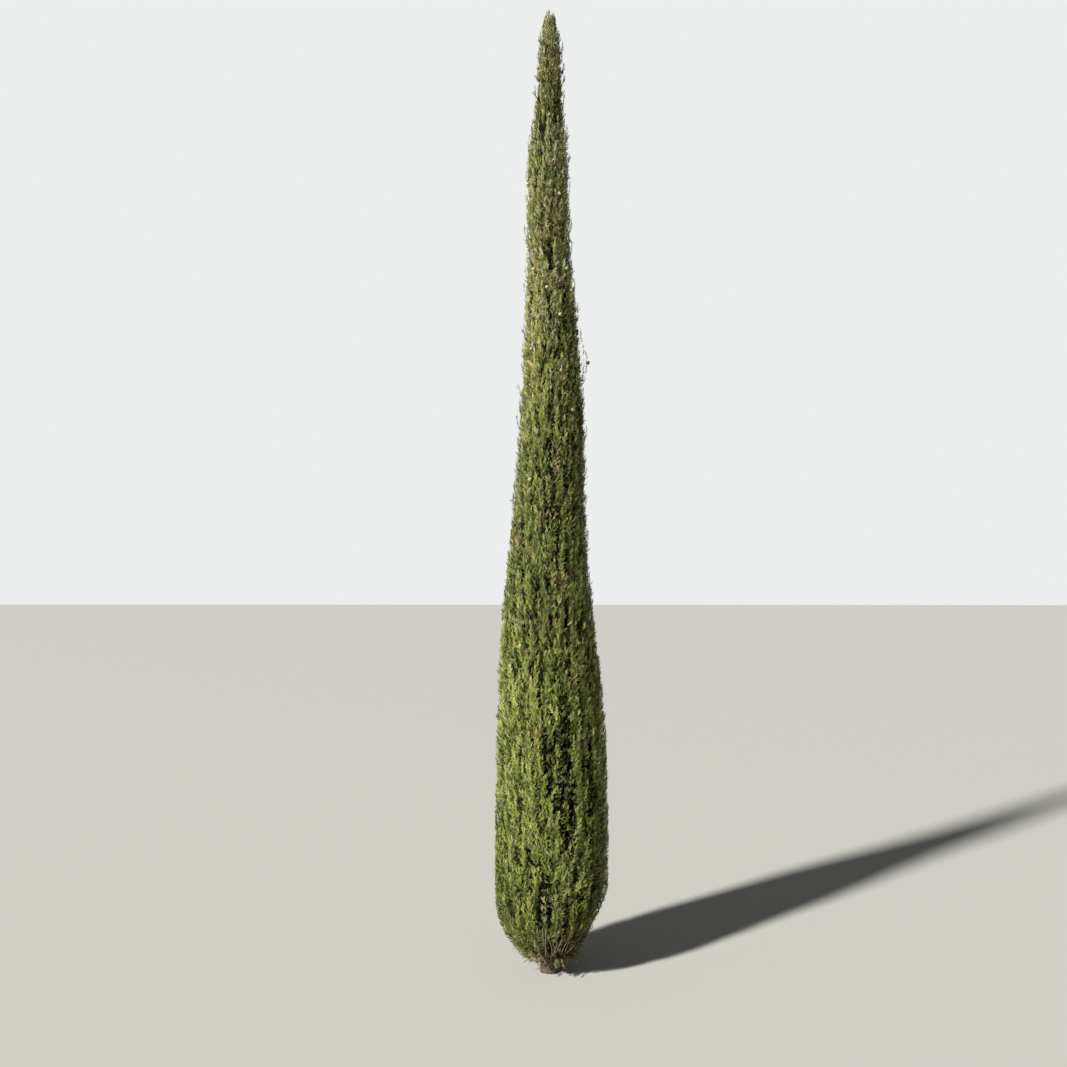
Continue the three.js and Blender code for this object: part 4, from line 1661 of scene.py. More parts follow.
class Foliage:
    """All sprays of the tree, dealt out by tint and joined into a few pieces."""

    SHAPES = 12
    SLOT = "foliage"
    BOX_GAP = 0.008
    NORMAL_BLEND = 0.3
    NORMAL_RISE = 0.25
    SLIT_DEPTH = 0.82  # share of the crown's radius that slits reach in to
    SLIT_PATTERNS = (
        SlitPattern(0.20, 1.75, 48, (0.12, 0.40), (0.006, 0.013)),
        SlitPattern(1.75, 2.90, 44, (0.08, 0.24), (0.005, 0.010)),
        SlitPattern(2.90, 3.70, 20, (0.06, 0.16), (0.003, 0.007)),
        SlitPattern(1.30, 3.00, 75, (0.035, 0.080), (0.006, 0.012)),
    )
    # side in degrees, foot, top, half width, wave and, in one, the share that stays
    FRONT_SLITS = tuple(
        Slit(math.radians(side), *sizes)
        for side, *sizes in (
            (-79, 0.58, 1.22, 0.019, 0.004), (-69, 0.50, 1.04, 0.017, -0.004),
            (-88, 0.70, 1.00, 0.010, 0.003), (-102, 0.24, 0.52, 0.014, 0.003),
            (-92, 0.22, 0.46, 0.012, -0.003), (-73, 0.14, 0.38, 0.012, 0.003),
            (-97, 0.84, 1.02, 0.011, 0.002), (-44, 0.40, 1.05, 0.018, 0.004),
            (-54, 0.80, 1.30, 0.014, -0.003), (-66, 1.15, 1.55, 0.010, 0.003),
            (-76, 1.62, 1.84, 0.012, 0.003), (-62, 1.52, 1.72, 0.010, -0.003),
            (-84, 1.80, 2.02, 0.010, 0.002), (-64, 1.95, 2.16, 0.011, 0.003),
            (-50, 1.70, 1.95, 0.012, -0.002), (-72, 2.16, 2.36, 0.009, 0.002),
            (-76, 0.03, 0.20, 0.060, 0.0, 0.55),
        )
    )
    HALF_ROUND = math.radians(105)  # sprays stand on this much of a shoot either way
    FLANK_SHARE = 0.8  # how far those on its flanks stand out
    TIP_SPLAY = 0.6  # how much less they splay at its tip
    SPLAY_CHANGE = 9  # degrees
    ROLL = 55  # degrees either way
    SHORTER = 0.3  # towards the tip
    LENGTHS = (0.75, 1.2)
    RAGGED = Slope(1.6, 1.2)  # heights over which the outline gets ragged
    RAGGED_SHARES = (0.05, 0.11)  # of the sprays, everywhere and more where it is ragged
    RAGGED_LENGTH = 1.5  # of a stray spray, in usual ones
    SET_BACKS = ((0.0, 0.03), (0.0, 0.18))  # share of the reach, everywhere and where ragged
    SLIMMEST = 0.012  # reach of the leaves at the very tip
    STRAYS = 150
    STRAY_HEIGHTS = (2.15, 3.86)
    STRAY_LENGTHS = (0.045, 0.080)
    STRAY_REACHES = (0.0, 0.008)  # beyond the crown's outline, before the last spray
    STRAY_SPRAY = 0.024
    FRINGE = 88
    FRINGE_SPRAY = 0.028
    FRINGE_REACHES = (0.060, 0.116)  # from the trunk's axis
    FRINGE_SHIFT = 0.020  # less on the side of +X, and more on the other
    FRINGE_HEIGHTS = ([0.075, 0.046, 0.050], [0.110, 0.064, 0.100])  # of root, bend and tip
    SKIRT = 30  # dry shoots low on the side of +X
    SKIRT_SIDES = (-80.0, 15.0)  # degrees
    SKIRT_REACHES = (0.080, 0.134)
    SKIRT_HEIGHTS = ([0.100, 0.088, 0.068], [0.125, 0.110, 0.094])
    # root, bend and tip of the shoots of a twig that leans out on the right
    LEANING = (
        [[0.112, -0.020, 2.33], [0.150, -0.024, 2.42], [0.134, -0.022, 2.575]],
        [[0.120, -0.012, 2.37], [0.156, -0.016, 2.45], [0.150, -0.014, 2.520]],
    )
    INNER_FOOT = 0.10
    INNER_SHARES = (0.73, 0.97)
    INNER_LENGTHS = (0.10, 0.15)  # before they are made shorter where the crown is slim
    INNER_AREA = 0.0031  # of the crown for each of them

    def __init__(self, growth: Draws) -> None:
        """Makes the spray shapes.

        Args:
            growth: random numbers.
        """
        self.growth = growth
        self.shapes = [SprayShape(growth) for _ in range(self.SHAPES)]

    def on_shoot(self, shoot: Shoot) -> Sprays:
        """Places the sprays of one shoot, spread to the sides and outwards.

        Args:
            shoot: the shoot.

        Returns:
            Its sprays, the last one on its tip.
        """
        draws, count = self.growth, shoot.sprays
        level = np.append((np.arange(count) + draws.random(count)) / count, 1.0)
        foot = curve_points(shoot.path, level)
        along = curve_along(shoot.path, level)
        away = foot[:, :2] - CROWN.axis(foot[:, 2])
        outwards = unit(np.column_stack([away, np.zeros(len(away))]))
        lateral = unit(np.cross(along, outwards))
        proud = np.cross(lateral, along)
        turn = 2 * ((np.arange(count + 1) * GOLDEN + draws.random()) % 1) - 1
        around = self.HALF_ROUND * turn
        change = draws.uniform(-self.SPLAY_CHANGE, self.SPLAY_CHANGE, count + 1)
        splay = np.radians(shoot.splay * (1 - self.TIP_SPLAY * level) + change)
        splay[-1] = 0.0
        flank = self.FLANK_SHARE * np.sin(around)[:, None]
        swing = flank * lateral + np.cos(around)[:, None] * proud
        pointing = unit(np.cos(splay)[:, None] * along + np.sin(splay)[:, None] * unit(swing))
        roll = np.radians(draws.uniform(-self.ROLL, self.ROLL, count + 1))
        facing = unit(proud - np.sum(proud * pointing, 1)[:, None] * pointing)
        sideways = np.cross(pointing, facing)
        facing = np.cos(roll)[:, None] * facing + np.sin(roll)[:, None] * sideways
        length = shoot.spray * (1 - self.SHORTER * level)
        length *= draws.uniform(*self.LENGTHS, count + 1)
        length[-1] = shoot.end_spray
        usual, more = self.RAGGED_SHARES
        ragged = draws.random(count + 1) < usual + more * self.RAGGED.at(foot[:, 2])
        length[ragged] *= self.RAGGED_LENGTH
        vigour_and_shade = np.full(count + 1, shoot.vigour_and_shade)
        tint = np.zeros(count + 1, int)
        return Sprays(foot, pointing, facing, length, level, vigour_and_shade, tint)

    def inner_shoots(self, top: float) -> list[Shoot]:
        """Short upright shoots all over the inner foliage, behind those of the plumes.

        Args:
            top: height that they stop at.

        Returns:
            The shoots.
        """
        draws, shoots = self.growth, []
        z, azimuth = self.INNER_FOOT, 0.0
        while z < top:
            radius = float(CROWN.radius(z, azimuth))
            least, most = self.INNER_SHARES
            share = least + (most - least) * draws.random() ** 0.55
            length = draws.uniform(*self.INNER_LENGTHS) * (0.4 + 2.4 * radius)
            heights = np.array([z, z + 0.5 * length, z + length])
            out = share * CROWN.radius(heights, azimuth) * np.array([0.86, 1.0, 1.0])
            turns = azimuth + draws.uniform(-0.25, 0.25) * np.array([0.0, 0.4, 1.0])
            spray = 0.36 * length
            path = CROWN.path(heights, out, turns)
            # the -1.5 is painted shade: the inner shoots' leaves get darker tints deep in the
            # crown
            shoots.append(Shoot(path, spray, 0.8 * spray, 9, 42.0, -1.5))
            azimuth += math.tau * GOLDEN
            z += self.INNER_AREA / (math.tau * max(radius, 0.03))
        return shoots

    def stray_shoots(self) -> list[Shoot]:
        """Short shoots that lean out of the upper crown and make its outline feathery.

        Returns:
            The shoots.
        """
        draws, shoots = self.growth, []
        lowest, top = self.STRAY_HEIGHTS
        for i in range(self.STRAYS):
            z = lowest + (top - lowest) * (i + draws.random()) / self.STRAYS
            azimuth = math.tau * i * GOLDEN
            length = draws.uniform(*self.STRAY_LENGTHS) * (1 if z < 3.6 else 0.7)
            heights = np.array([z, z + 0.5 * length, z + 0.95 * length])
            reach = CROWN.radius(heights, azimuth)
            proud = draws.uniform(*self.STRAY_REACHES)
            out = reach * np.array([0.8, 1.0, 1.0]) + np.array([0.0, 0.3, 1.0]) * proud
            path = CROWN.path(heights, out, azimuth)
            shoots.append(Shoot(path, self.STRAY_SPRAY, self.STRAY_SPRAY, 8, 26.0, 0.3))
        return shoots

    def fringe_shoots(self) -> list[Shoot]:
        """Sparse sagging shoots round the trunk's foot, under the crown.

        Returns:
            The shoots.
        """
        draws, shoots = self.growth, []
        for i in range(self.FRINGE):
            azimuth = math.tau * i * GOLDEN
            reach = draws.uniform(*self.FRINGE_REACHES) - self.FRINGE_SHIFT * math.cos(azimuth)
            heights = draws.uniform(*self.FRINGE_HEIGHTS)
            path = CROWN.path(heights, reach * np.array([0.25, 0.72, 1.0]), azimuth)
            shoots.append(Shoot(path, self.FRINGE_SPRAY, 0.8 * self.FRINGE_SPRAY, 11, 36.0, -0.8))
        for _ in range(self.SKIRT):
            azimuth = math.radians(draws.uniform(*self.SKIRT_SIDES))
            heights = draws.uniform(*self.SKIRT_HEIGHTS)
            reach = draws.uniform(*self.SKIRT_REACHES)
            path = CROWN.path(heights, reach * np.array([0.5, 0.8, 1.0]), azimuth)
            shoots.append(Shoot(path, self.FRINGE_SPRAY, 0.7 * self.FRINGE_SPRAY, 9, 34.0, -1.0))
        return shoots

    def leaning_shoots(self) -> list[Shoot]:
        """The shoots of the twig that leans out of the crown on the right."""
        return [Shoot(np.array(path), 0.030, 0.026, 12, 34.0) for path in self.LEANING]

    def keep_inside(self, sprays: Sprays, box: tuple[Array, Array]) -> None:
        """Sets sprays back whose tips or flanks would pass the crown's reach or the box.

        Args:
            sprays: the sprays, some of which are moved inwards or down.
            box: lowest and highest corner of the solids.
        """
        along = sprays.along * sprays.length[:, None]
        side = np.cross(sprays.face, sprays.along) * sprays.length[:, None]
        probes = [along, 0.75 * along + 0.2 * side, 0.75 * along - 0.2 * side]
        usual, ragged = self.SET_BACKS
        spare = self.growth.uniform(*usual, len(along))
        spare -= self.growth.uniform(*ragged, len(along)) * self.RAGGED.at(sprays.foot[:, 2])
        for probe in probes:
            places = CROWN.places(sprays.foot + probe)
            reach = CROWN.leaf_reach(places.z, places.azimuth) * (1 - spare)
            excess = np.clip(places.distance - np.maximum(reach, self.SLIMMEST), 0, None)
            sprays.foot[:, :2] -= unit(places.out) * excess[:, None]
        for probe in probes:
            tip = sprays.foot + probe
            sprays.foot -= np.clip(tip - (box[1] - self.BOX_GAP), 0, None)
            sprays.foot += np.clip(box[0] + self.BOX_GAP - tip, 0, None)

    def open_slits(self, sprays: Sprays) -> Sprays:
        """Leaves out the sprays that would fill the slits.

        Args:
            sprays: all sprays.

        Returns:
            The sprays that stay.
        """
        middle = sprays.foot + 0.6 * sprays.length[:, None] * sprays.along
        places = CROWN.places(middle)
        slits = list(self.FRONT_SLITS)
        for pattern in self.SLIT_PATTERNS:
            slits += pattern.slits(self.growth)
        chance = self.growth.random(len(middle))
        kept = np.ones(len(middle), bool)
        for slit in slits:
            kept &= ~slit.holds(places, self.SLIT_DEPTH) | (chance <= slit.strays)
        names = Sprays.__dataclass_fields__
        return Sprays(*(getattr(sprays, name)[kept] for name in names))

    def merged(self, groups: list[Sprays]) -> Sprays:
        """Groups of sprays as one group."""
        names = Sprays.__dataclass_fields__
        return Sprays(*(np.concatenate([getattr(g, name) for g in groups]) for name in names))

    def gathered(self, shoots: list[Shoot]) -> Sprays:
        """The sprays of many shoots as one group."""
        return self.merged([self.on_shoot(shoot) for shoot in shoots])

    def soft_normals(self, corners: Array, faces: Array) -> Mesh:
        """Turns all faces outwards and bends their normals towards the crown's own.

        Sprays lie in many layers that light gets through, so a plume is lit more evenly than
        single hard leaves would be.

        Args:
            corners: the corners of many sprays.
            faces: their triangles.

        Returns:
            The triangles, turned outwards, and a normal for each corner.
        """
        away = corners[:, :2] - CROWN.axis(corners[:, 2])
        outwards = unit(np.column_stack([unit(away), np.full(len(away), self.NORMAL_RISE)]))
        a, b, c = (corners[faces[:, i]] for i in range(3))
        flat = unit(np.cross(b - a, c - a))
        inwards = np.sum(flat * outwards[faces[:, 0]], 1) < 0
        flat[inwards] *= -1
        faces = np.where(inwards[:, None], faces[:, ::-1], faces)
        own = np.zeros_like(corners)
        for i in range(3):
            for axis in range(3):
                own[:, axis] += np.bincount(faces[:, i], flat[:, axis], len(corners))
        own = unit(own)
        return faces, unit(own + self.NORMAL_BLEND * (outwards - own))

    def meshed(self, sprays: Sprays, chosen: Array) -> Mesh:
        """The meshes of chosen sprays as one list of corners and one of triangles.

        Args:
            sprays: all sprays.
            chosen: numbers of the sprays to take.

        Returns:
            Corners and triangles.
        """
        parts = []
        for number, shape in enumerate(self.shapes):
            rows = chosen[chosen % self.SHAPES == number]
            scale = sprays.length[rows][:, None, None]
            along, face = sprays.along[rows], sprays.face[rows]
            side = np.cross(face, along)
            x, y, z = (shape.points[None, :, i, None] for i in range(3))
            offset = x * side[:, None] + y * face[:, None] + z * along[:, None]
            corners = (sprays.foot[rows][:, None] + scale * offset).reshape(-1, 3)
            steps = len(shape.points) * np.arange(len(rows))
            parts.append((corners, (shape.triangles[None] + steps[:, None, None]).reshape(-1, 3)))
        return joined(parts)

    def build(
        self, shoots: list[Shoot], leaning: list[Shoot], nodes: list[str], box: tuple[Array, Array]
    ) -> Sprays:
        """Grows and dresses all sprays.

        Args:
            shoots: the shoots that carry them.
            leaning: shoots that lean out of the crown, whose sprays aren't set back.
            nodes: the solids that they stand for.
            box: lowest and highest corner of the solids, which the sprays keep to.

        Returns:
            The sprays.
        """
        within = self.gathered(shoots)
        self.keep_inside(within, box)
        sprays = self.merged([self.open_slits(within), self.gathered(leaning)])
        TintRule().deal(sprays, self.growth)
        per_spray = max(len(shape.triangles) for shape in self.shapes)
        most = MOST_TRIANGLES // per_spray
        for number, tint in enumerate(Tint):
            chosen = np.flatnonzero(sprays.tint == number)
            material = ScaleLeafFinish(tint).material()
            parts = max(1, math.ceil(len(chosen) / most))
            for part, some in enumerate(np.array_split(chosen, parts)):
                name = f"foliage_{tint.value[0]}" + (f"_{part + 1}" if parts > 1 else "")
                corners, faces = self.meshed(sprays, some)
                faces, normals = self.soft_normals(corners, faces)
                made = mesh_object(name, corners, faces, material, normals)
                settle(made, nodes)
        return sprays


@dataclass(frozen=True)
class Trunk:
    """The trunk, with its solid's sizes and the relief of its bark."""

    node: str = "trunk"
    top: float = 3.720
    foot_radius: float = 0.034
    tip_radius: float = 0.005
    taper: float = 1.15
    flare_radius: float = 0.011
    flare_height: float = 0.045
    flare_lobes: int = 5
    flare_lobe_depth: float = 0.16
    relief: float = 0.0016  # depth of the furrows in the bark
    strips: int = 17  # strips of bark round the trunk
    sides: int = 72
    fine_step: float = 0.005  # between rings near the ground
    fine_height: float = 0.30
    step: float = 0.045  # between rings higher up
    wobbles: tuple[Wave, ...] = (Wave(0.5, math.tau / 0.21), Wave(0.3, math.tau / 0.083, 0, 1))
    splits: Wave = Wave(1.0, math.tau / 0.055, 5)

    def radius(self, z: Array, azimuth: Array) -> Array:
        """The trunk's radius with no relief.

        Args:
            z: heights.
            azimuth: azimuths from +X, in radians.

        Returns:
            The radius at each height and azimuth.
        """
        taper = np.clip(1 - z / self.top, 0, 1) ** self.taper
        stem = self.tip_radius + (self.foot_radius - self.tip_radius) * taper
        lobes = 1 + self.flare_lobe_depth * np.cos(self.flare_lobes * azimuth)
        return stem + self.flare_radius * lobes * np.exp(-z / self.flare_height)

    def heights(self) -> Array:
        """Heights of the rings, close together where the trunk shows."""
        fine = np.arange(0, self.fine_height, self.fine_step)
        return np.r_[fine, np.arange(self.fine_height, self.top, self.step), self.top]

    def furrows(self, z: Array, azimuth: Array) -> Array:
        """How deep the bark's furrows are.

        Args:
            z: heights.
            azimuth: azimuths from +X, in radians.

        Returns:
            From 0 on the strips to 1 in a furrow.
        """
        wobble = sum(wave.at(z) for wave in self.wobbles)
        strips = np.sin(self.strips * azimuth + 2.2 * wobble + 3.0 * z)
        fibres = np.sin(3 * self.strips * azimuth - 5.0 * z + 1.7 * wobble)
        split = self.splits.at(z, azimuth) ** 6
        return np.clip(0.5 - 0.42 * strips + 0.16 * fibres + 0.25 * split, 0, 1)

    def build(self) -> Object:
        """Makes the trunk from its flat cut to its tip.

        Returns:
            The piece.
        """
        heights = self.heights()
        z, azimuth = column_grid(heights, self.sides)
        radius = self.radius(z, azimuth)
        depth = self.relief * np.clip(radius / self.foot_radius, 0.25, 1)
        radius = radius - depth * self.furrows(z, azimuth)
        axis = CROWN.axis(z)
        x = axis[..., 0] + radius * np.cos(azimuth)
        y = axis[..., 1] + radius * np.sin(azimuth)
        rings = np.stack([x, y, z], -1).reshape(-1, 3)
        ends = [np.append(CROWN.axis(height), height) for height in (0.0, self.top)]
        corners = np.vstack([rings, ends])
        faces = ring_faces(len(heights), self.sides)
        made = mesh_object("trunk_bark", corners, faces, BarkFinish().material())
        return settle(made, [self.node])


TRUNK = Trunk()


@dataclass(frozen=True)
class Limbs:
    """Boughs and stems with the bark's relief, and thin twigs out to the shoots."""

    sides: int = 10
    rings: int = 12
    relief: float = 0.0007
    twig_sides: int = 3
    twig_radius: float = 0.0020
    bare: int = 90
    bare_front: int = 11  # more of them low in front, where the crown has thinned
    bare_front_sides: Pair = (-110, -50)  # degrees
    bare_feet: Pair = (0.045, 0.120)  # heights
    bare_rises: Pair = (0.05, 0.19)
    wood_reach: float = 0.82  # of the twigs, as a share of the leaves'
    bare_reach: float = 1.01
    bare_stoutness: float = 1.15  # of bare twigs, in usual ones
    bare_rings: int = 7

    def limb(self, limb: Limb) -> Mesh:
        """The mesh of one bough or stem.

        Args:
            limb: its ends and radii.

        Returns:
            Corners and triangles.
        """
        run = limb.tip - limb.foot
        along = unit(run)
        across = unit(np.cross(along, np.array([0.0, 1.0, 0.0])))
        keel = np.cross(along, across)
        share, azimuth = column_grid(np.linspace(0, 1, self.rings), self.sides)
        radius = limb.foot_radius + (limb.tip_radius - limb.foot_radius) * share
        radius = radius * math.cos(math.pi / 6)  # inside of the solids' six-sided limb
        furrow = 0.5 + 0.5 * np.sin(5 * azimuth + 6 * np.sin(3 * share))
        radius = radius - self.relief * furrow
        ring = np.cos(azimuth)[..., None] * across + np.sin(azimuth)[..., None] * keel
        points = limb.foot + share[..., None] * run + radius[..., None] * ring
        corners = np.vstack([points.reshape(-1, 3), limb.foot, limb.tip])
        return corners, ring_faces(self.rings, self.sides)

    def twigs(
        self, shoots: list[Shoot], most: float, stoutness: float = 1.0, rings: int = 3
    ) -> list[Mesh]:
        """The meshes of thin twigs, from deep in the crown out and up into each shoot.

        Args:
            shoots: the shoots that they carry.
            most: their reach, as a share of the leaves'.
            stoutness: their thickness, in usual ones.
            rings: rings of corners along each.

        Returns:
            Corners and triangles of each.
        """
        twigs, faces = [], ring_faces(rings, self.twig_sides)
        angles = math.tau * np.arange(self.twig_sides) / self.twig_sides
        level = np.linspace(0, 0.9, rings - 1)
        for shoot in shoots:
            root = shoot.path[0]
            axis = np.append(CROWN.axis(root[2]), root[2])
            inner = axis + 0.45 * (root - axis) - np.array([0, 0, 0.3 * shoot.spray])
            line = np.vstack([inner, curve_points(shoot.path, level)])
            places = CROWN.places(line)
            reach = most * CROWN.leaf_reach(places.z, places.azimuth)
            line[:, :2] -= unit(places.out) * np.clip(places.distance - reach, 0, None)[:, None]
            along = unit(np.gradient(line, axis=0))
            across = unit(np.cross(along, root - axis))
            keel = np.cross(along, across)
            radius = stoutness * self.twig_radius * np.linspace(1.3, 0.35, rings)
            ring = (
                np.cos(angles)[None, :, None] * across[:, None]
                + np.sin(angles)[None, :, None] * keel[:, None]
            )
            points = line[:, None] + radius[:, None, None] * ring
            twigs.append((np.vstack([points.reshape(-1, 3), line[0], line[-1]]), faces))
        return twigs

    def bare_twigs(self, growth: Draws) -> list[Shoot]:
        """Dead twigs that have lost their leaves, under the crown and in its lowest part.

        Args:
            growth: random numbers.

        Returns:
            The twigs as shoots with no sprays.
        """
        twigs = []
        for i in range(self.bare + self.bare_front):
            azimuth = math.tau * i * GOLDEN + growth.uniform(-0.3, 0.3)
            if i >= self.bare:
                azimuth = math.radians(growth.uniform(*self.bare_front_sides))
            foot = growth.uniform(*self.bare_feet)
            tip = foot + growth.uniform(*self.bare_rises)
            heights = np.array([foot, 0.5 * (foot + tip) - 0.015, tip])
            reach = CROWN.leaf_reach(heights, np.full(3, azimuth))
            if i < self.bare:
                out = growth.uniform(0.80, 0.98) * reach[2] * np.array([0.12, 0.7, 1.0])
            else:
                out = reach * np.array([0.80, 0.99, growth.uniform(0.94, 1.01)])
            turned = azimuth + growth.uniform(-0.25, 0.25, 3) * np.array([0.1, 0.7, 1.0])
            twigs.append(Shoot(CROWN.path(heights, out, turned), 0.0, 0.0, 0))
        return twigs

    def build(self, plumes: list[Plume], shoots: list[Shoot], growth: Draws) -> None:
        """Makes the boughs, the plumes' stems and the twigs, each kind as one piece.

        Args:
            plumes: the plumes with their boughs and stems.
            shoots: the shoots that the twigs carry.
            growth: random numbers.
        """
        bark = BarkFinish().material()
        boughs = [(plume.bough(), plume.bough_node) for plume in plumes if plume.bough_node]
        stems = [plume.stem() for plume in plumes]
        bare = self.bare_twigs(growth)
        sizes = (self.bare_reach, self.bare_stoutness, self.bare_rings)
        pieces = (
            ("boughs_bark", [self.limb(limb) for limb, _ in boughs], bark, [n for _, n in boughs]),
            ("plume_stems", [self.limb(stem) for stem in stems], bark, []),
            ("twigs", self.twigs(shoots, self.wood_reach), YOUNG_WOOD.material(), []),
            ("bare_twigs", self.twigs(bare, *sizes), DEAD_WOOD.material(), []),
        )
        for name, parts, wood, nodes in pieces:
            settle(mesh_object(name, *joined(parts), wood), nodes)


@dataclass(frozen=True)
class InnerMass:
    """The dense inside of the crown, which the shoots stand out of and no light gets through."""

    foot: float = 0.105
    top: float = 3.90
    share: float = 0.70  # of the crown's radius
    tip_fullness: float = 0.08  # more of it in the slim tip
    tip: Slope = Slope(3.45, 0.20)
    dome: float = 0.25  # height over which it closes at the top
    lump: float = 0.10  # height of its lumps as a share of its radius
    sides: int = 72
    rings: int = 180

    def build(self, nodes: list[str]) -> Object:
        """Makes the mass as one lumpy column.

        Args:
            nodes: the solids that it stands for.

        Returns:
            The piece.
        """
        heights = np.linspace(self.foot, self.top, self.rings)
        z, azimuth = column_grid(heights, self.sides)
        fullness = self.share + self.tip_fullness * self.tip.at(z)
        fullness = fullness * np.sqrt(np.clip((self.top - z) / self.dome, 0.002, 1))
        radius = fullness * CROWN.radius(z, azimuth)
        axis = CROWN.axis(z)
        axis[..., 0] -= CROWN.lean(z)
        x, y = radius * np.cos(azimuth), radius * np.sin(azimuth)
        points = np.stack([x, y, 0.4 * z], -1)
        lumps = Ripple(seed=91, wave=0.07).at(points) + 0.5 * Ripple(seed=5, wave=0.025).at(points)
        swell = 1 + self.lump * np.clip(lumps, -1.5, 1.5)
        points = np.stack([axis[..., 0] + swell * x, axis[..., 1] + swell * y, z], -1)
        ends = [np.append(axis[row, 0], heights[row]) for row in (0, -1)]
        corners = np.vstack([points.reshape(-1, 3), ends])
        faces = ring_faces(self.rings, self.sides)
        made = mesh_object("inner_foliage", corners, faces, SHADED_FOLIAGE.material())
        return settle(made, nodes)


class ConeShape:
    """The mesh of a seed cone of radius 1: shields that meet in grooves, each with a boss."""

    SHIELDS = 12
    RINGS = 12
    SIDES = 18
    GROOVE = 0.2
    BOSS = 0.12

    def __init__(self) -> None:
        """Lays out the cone's surface."""
        i = np.arange(self.SHIELDS) + 0.5
        rise = 1 - 2 * i / self.SHIELDS
        azimuth = math.tau * i * GOLDEN
        flat = np.sqrt(1 - rise**2)
        shields = np.stack([flat * np.cos(azimuth), flat * np.sin(azimuth), rise], 1)
        polar = math.pi * (np.arange(self.RINGS) + 0.5) / self.RINGS
        angle, turn = column_grid(polar[::-1], self.SIDES)
        surface = np.stack(
            [np.sin(angle) * np.cos(turn), np.sin(angle) * np.sin(turn), np.cos(angle)], -1
        ).reshape(-1, 3)
        surface = np.vstack([surface, [0, 0, -1], [0, 0, 1]])
        spread = np.sort(np.arccos(np.clip(surface @ shields.T, -1, 1)), 1)
        edge = np.clip((spread[:, 1] - spread[:, 0]) / 0.28, 0, 1)
        boss = np.exp(-((spread[:, 0] / 0.16) ** 2))
        radius = 1 - self.GROOVE * (1 - edge) ** 1.5 + self.BOSS * boss
        self.points = surface * radius[:, None] / (1 + self.BOSS)
        self.triangles = ring_faces(self.RINGS, self.SIDES)


@dataclass(frozen=True)
class SeedCones:
    """Seed cones, mostly in the upper half of the crown."""

    extra: int = 34
    lowest: float = 2.5
    radii: Pair = (0.0055, 0.0085)
    # place and radius of dark ones that show on the outline, grey as painted shade, and which way
    # they face
    dark: tuple[tuple[float, ...], ...] = (
        (0.157, -0.022, 2.492, 0.0095),
        (0.046, -0.022, 3.795, 0.0065),
        (0.052, -0.018, 3.715, 0.0065),
    )
    dark_facing: tuple[float, ...] = (0.8, -0.4, 0.45)

    def choose(self, plumes: list[Plume], growth: Draws) -> list[Cone]:
        """Places more cones than the solids have, of smaller sizes.

        Args:
            plumes: the plumes that bear them.
            growth: random numbers.

        Returns:
            The cones.
        """
        bearing = [plume for plume in plumes if plume.space.above.height > self.lowest]
        cones = []
        for _ in range(self.extra):
            plume = bearing[int(growth.integers(len(bearing)))]
            share, side = growth.uniform(0.05, 0.9), growth.uniform(-0.85, 0.85)
            cones.append(plume.cone_at(share, side, growth.uniform(*self.radii)))
        return cones

    def build(self, cones: list[Cone], growth: Draws) -> None:
        """Makes the cones, the grey and the pale ones as a piece each: the grey are weathered ones
        and the outline's dark ones, painted shade.

        Args:
            cones: the cones, a third of which are weathered.
            growth: random numbers.
        """
        facing = np.array(self.dark_facing)
        dark = [Cone(np.array(place), facing, radius) for *place, radius in self.dark]
        shape = ConeShape()
        kinds = (
            ("grey", GREY_CONES, dark + cones[::3]),
            ("pale", PALE_CONES, cones[1::3] + cones[2::3]),
        )
        for name, finish, chosen in kinds:
            parts = []
            for cone in chosen:
                across = unit(np.cross(cone.outwards, UP))
                keel = np.cross(cone.outwards, across)
                turn = growth.uniform(0, math.tau)
                sideways = math.cos(turn) * across + math.sin(turn) * keel
                frame = np.stack([sideways, np.cross(cone.outwards, sideways), cone.outwards])
                parts.append((cone.place + cone.radius * shape.points @ frame, shape.triangles))
            made = mesh_object(f"seed_cones_{name}", *joined(parts), finish.material())
            settle(made, [])


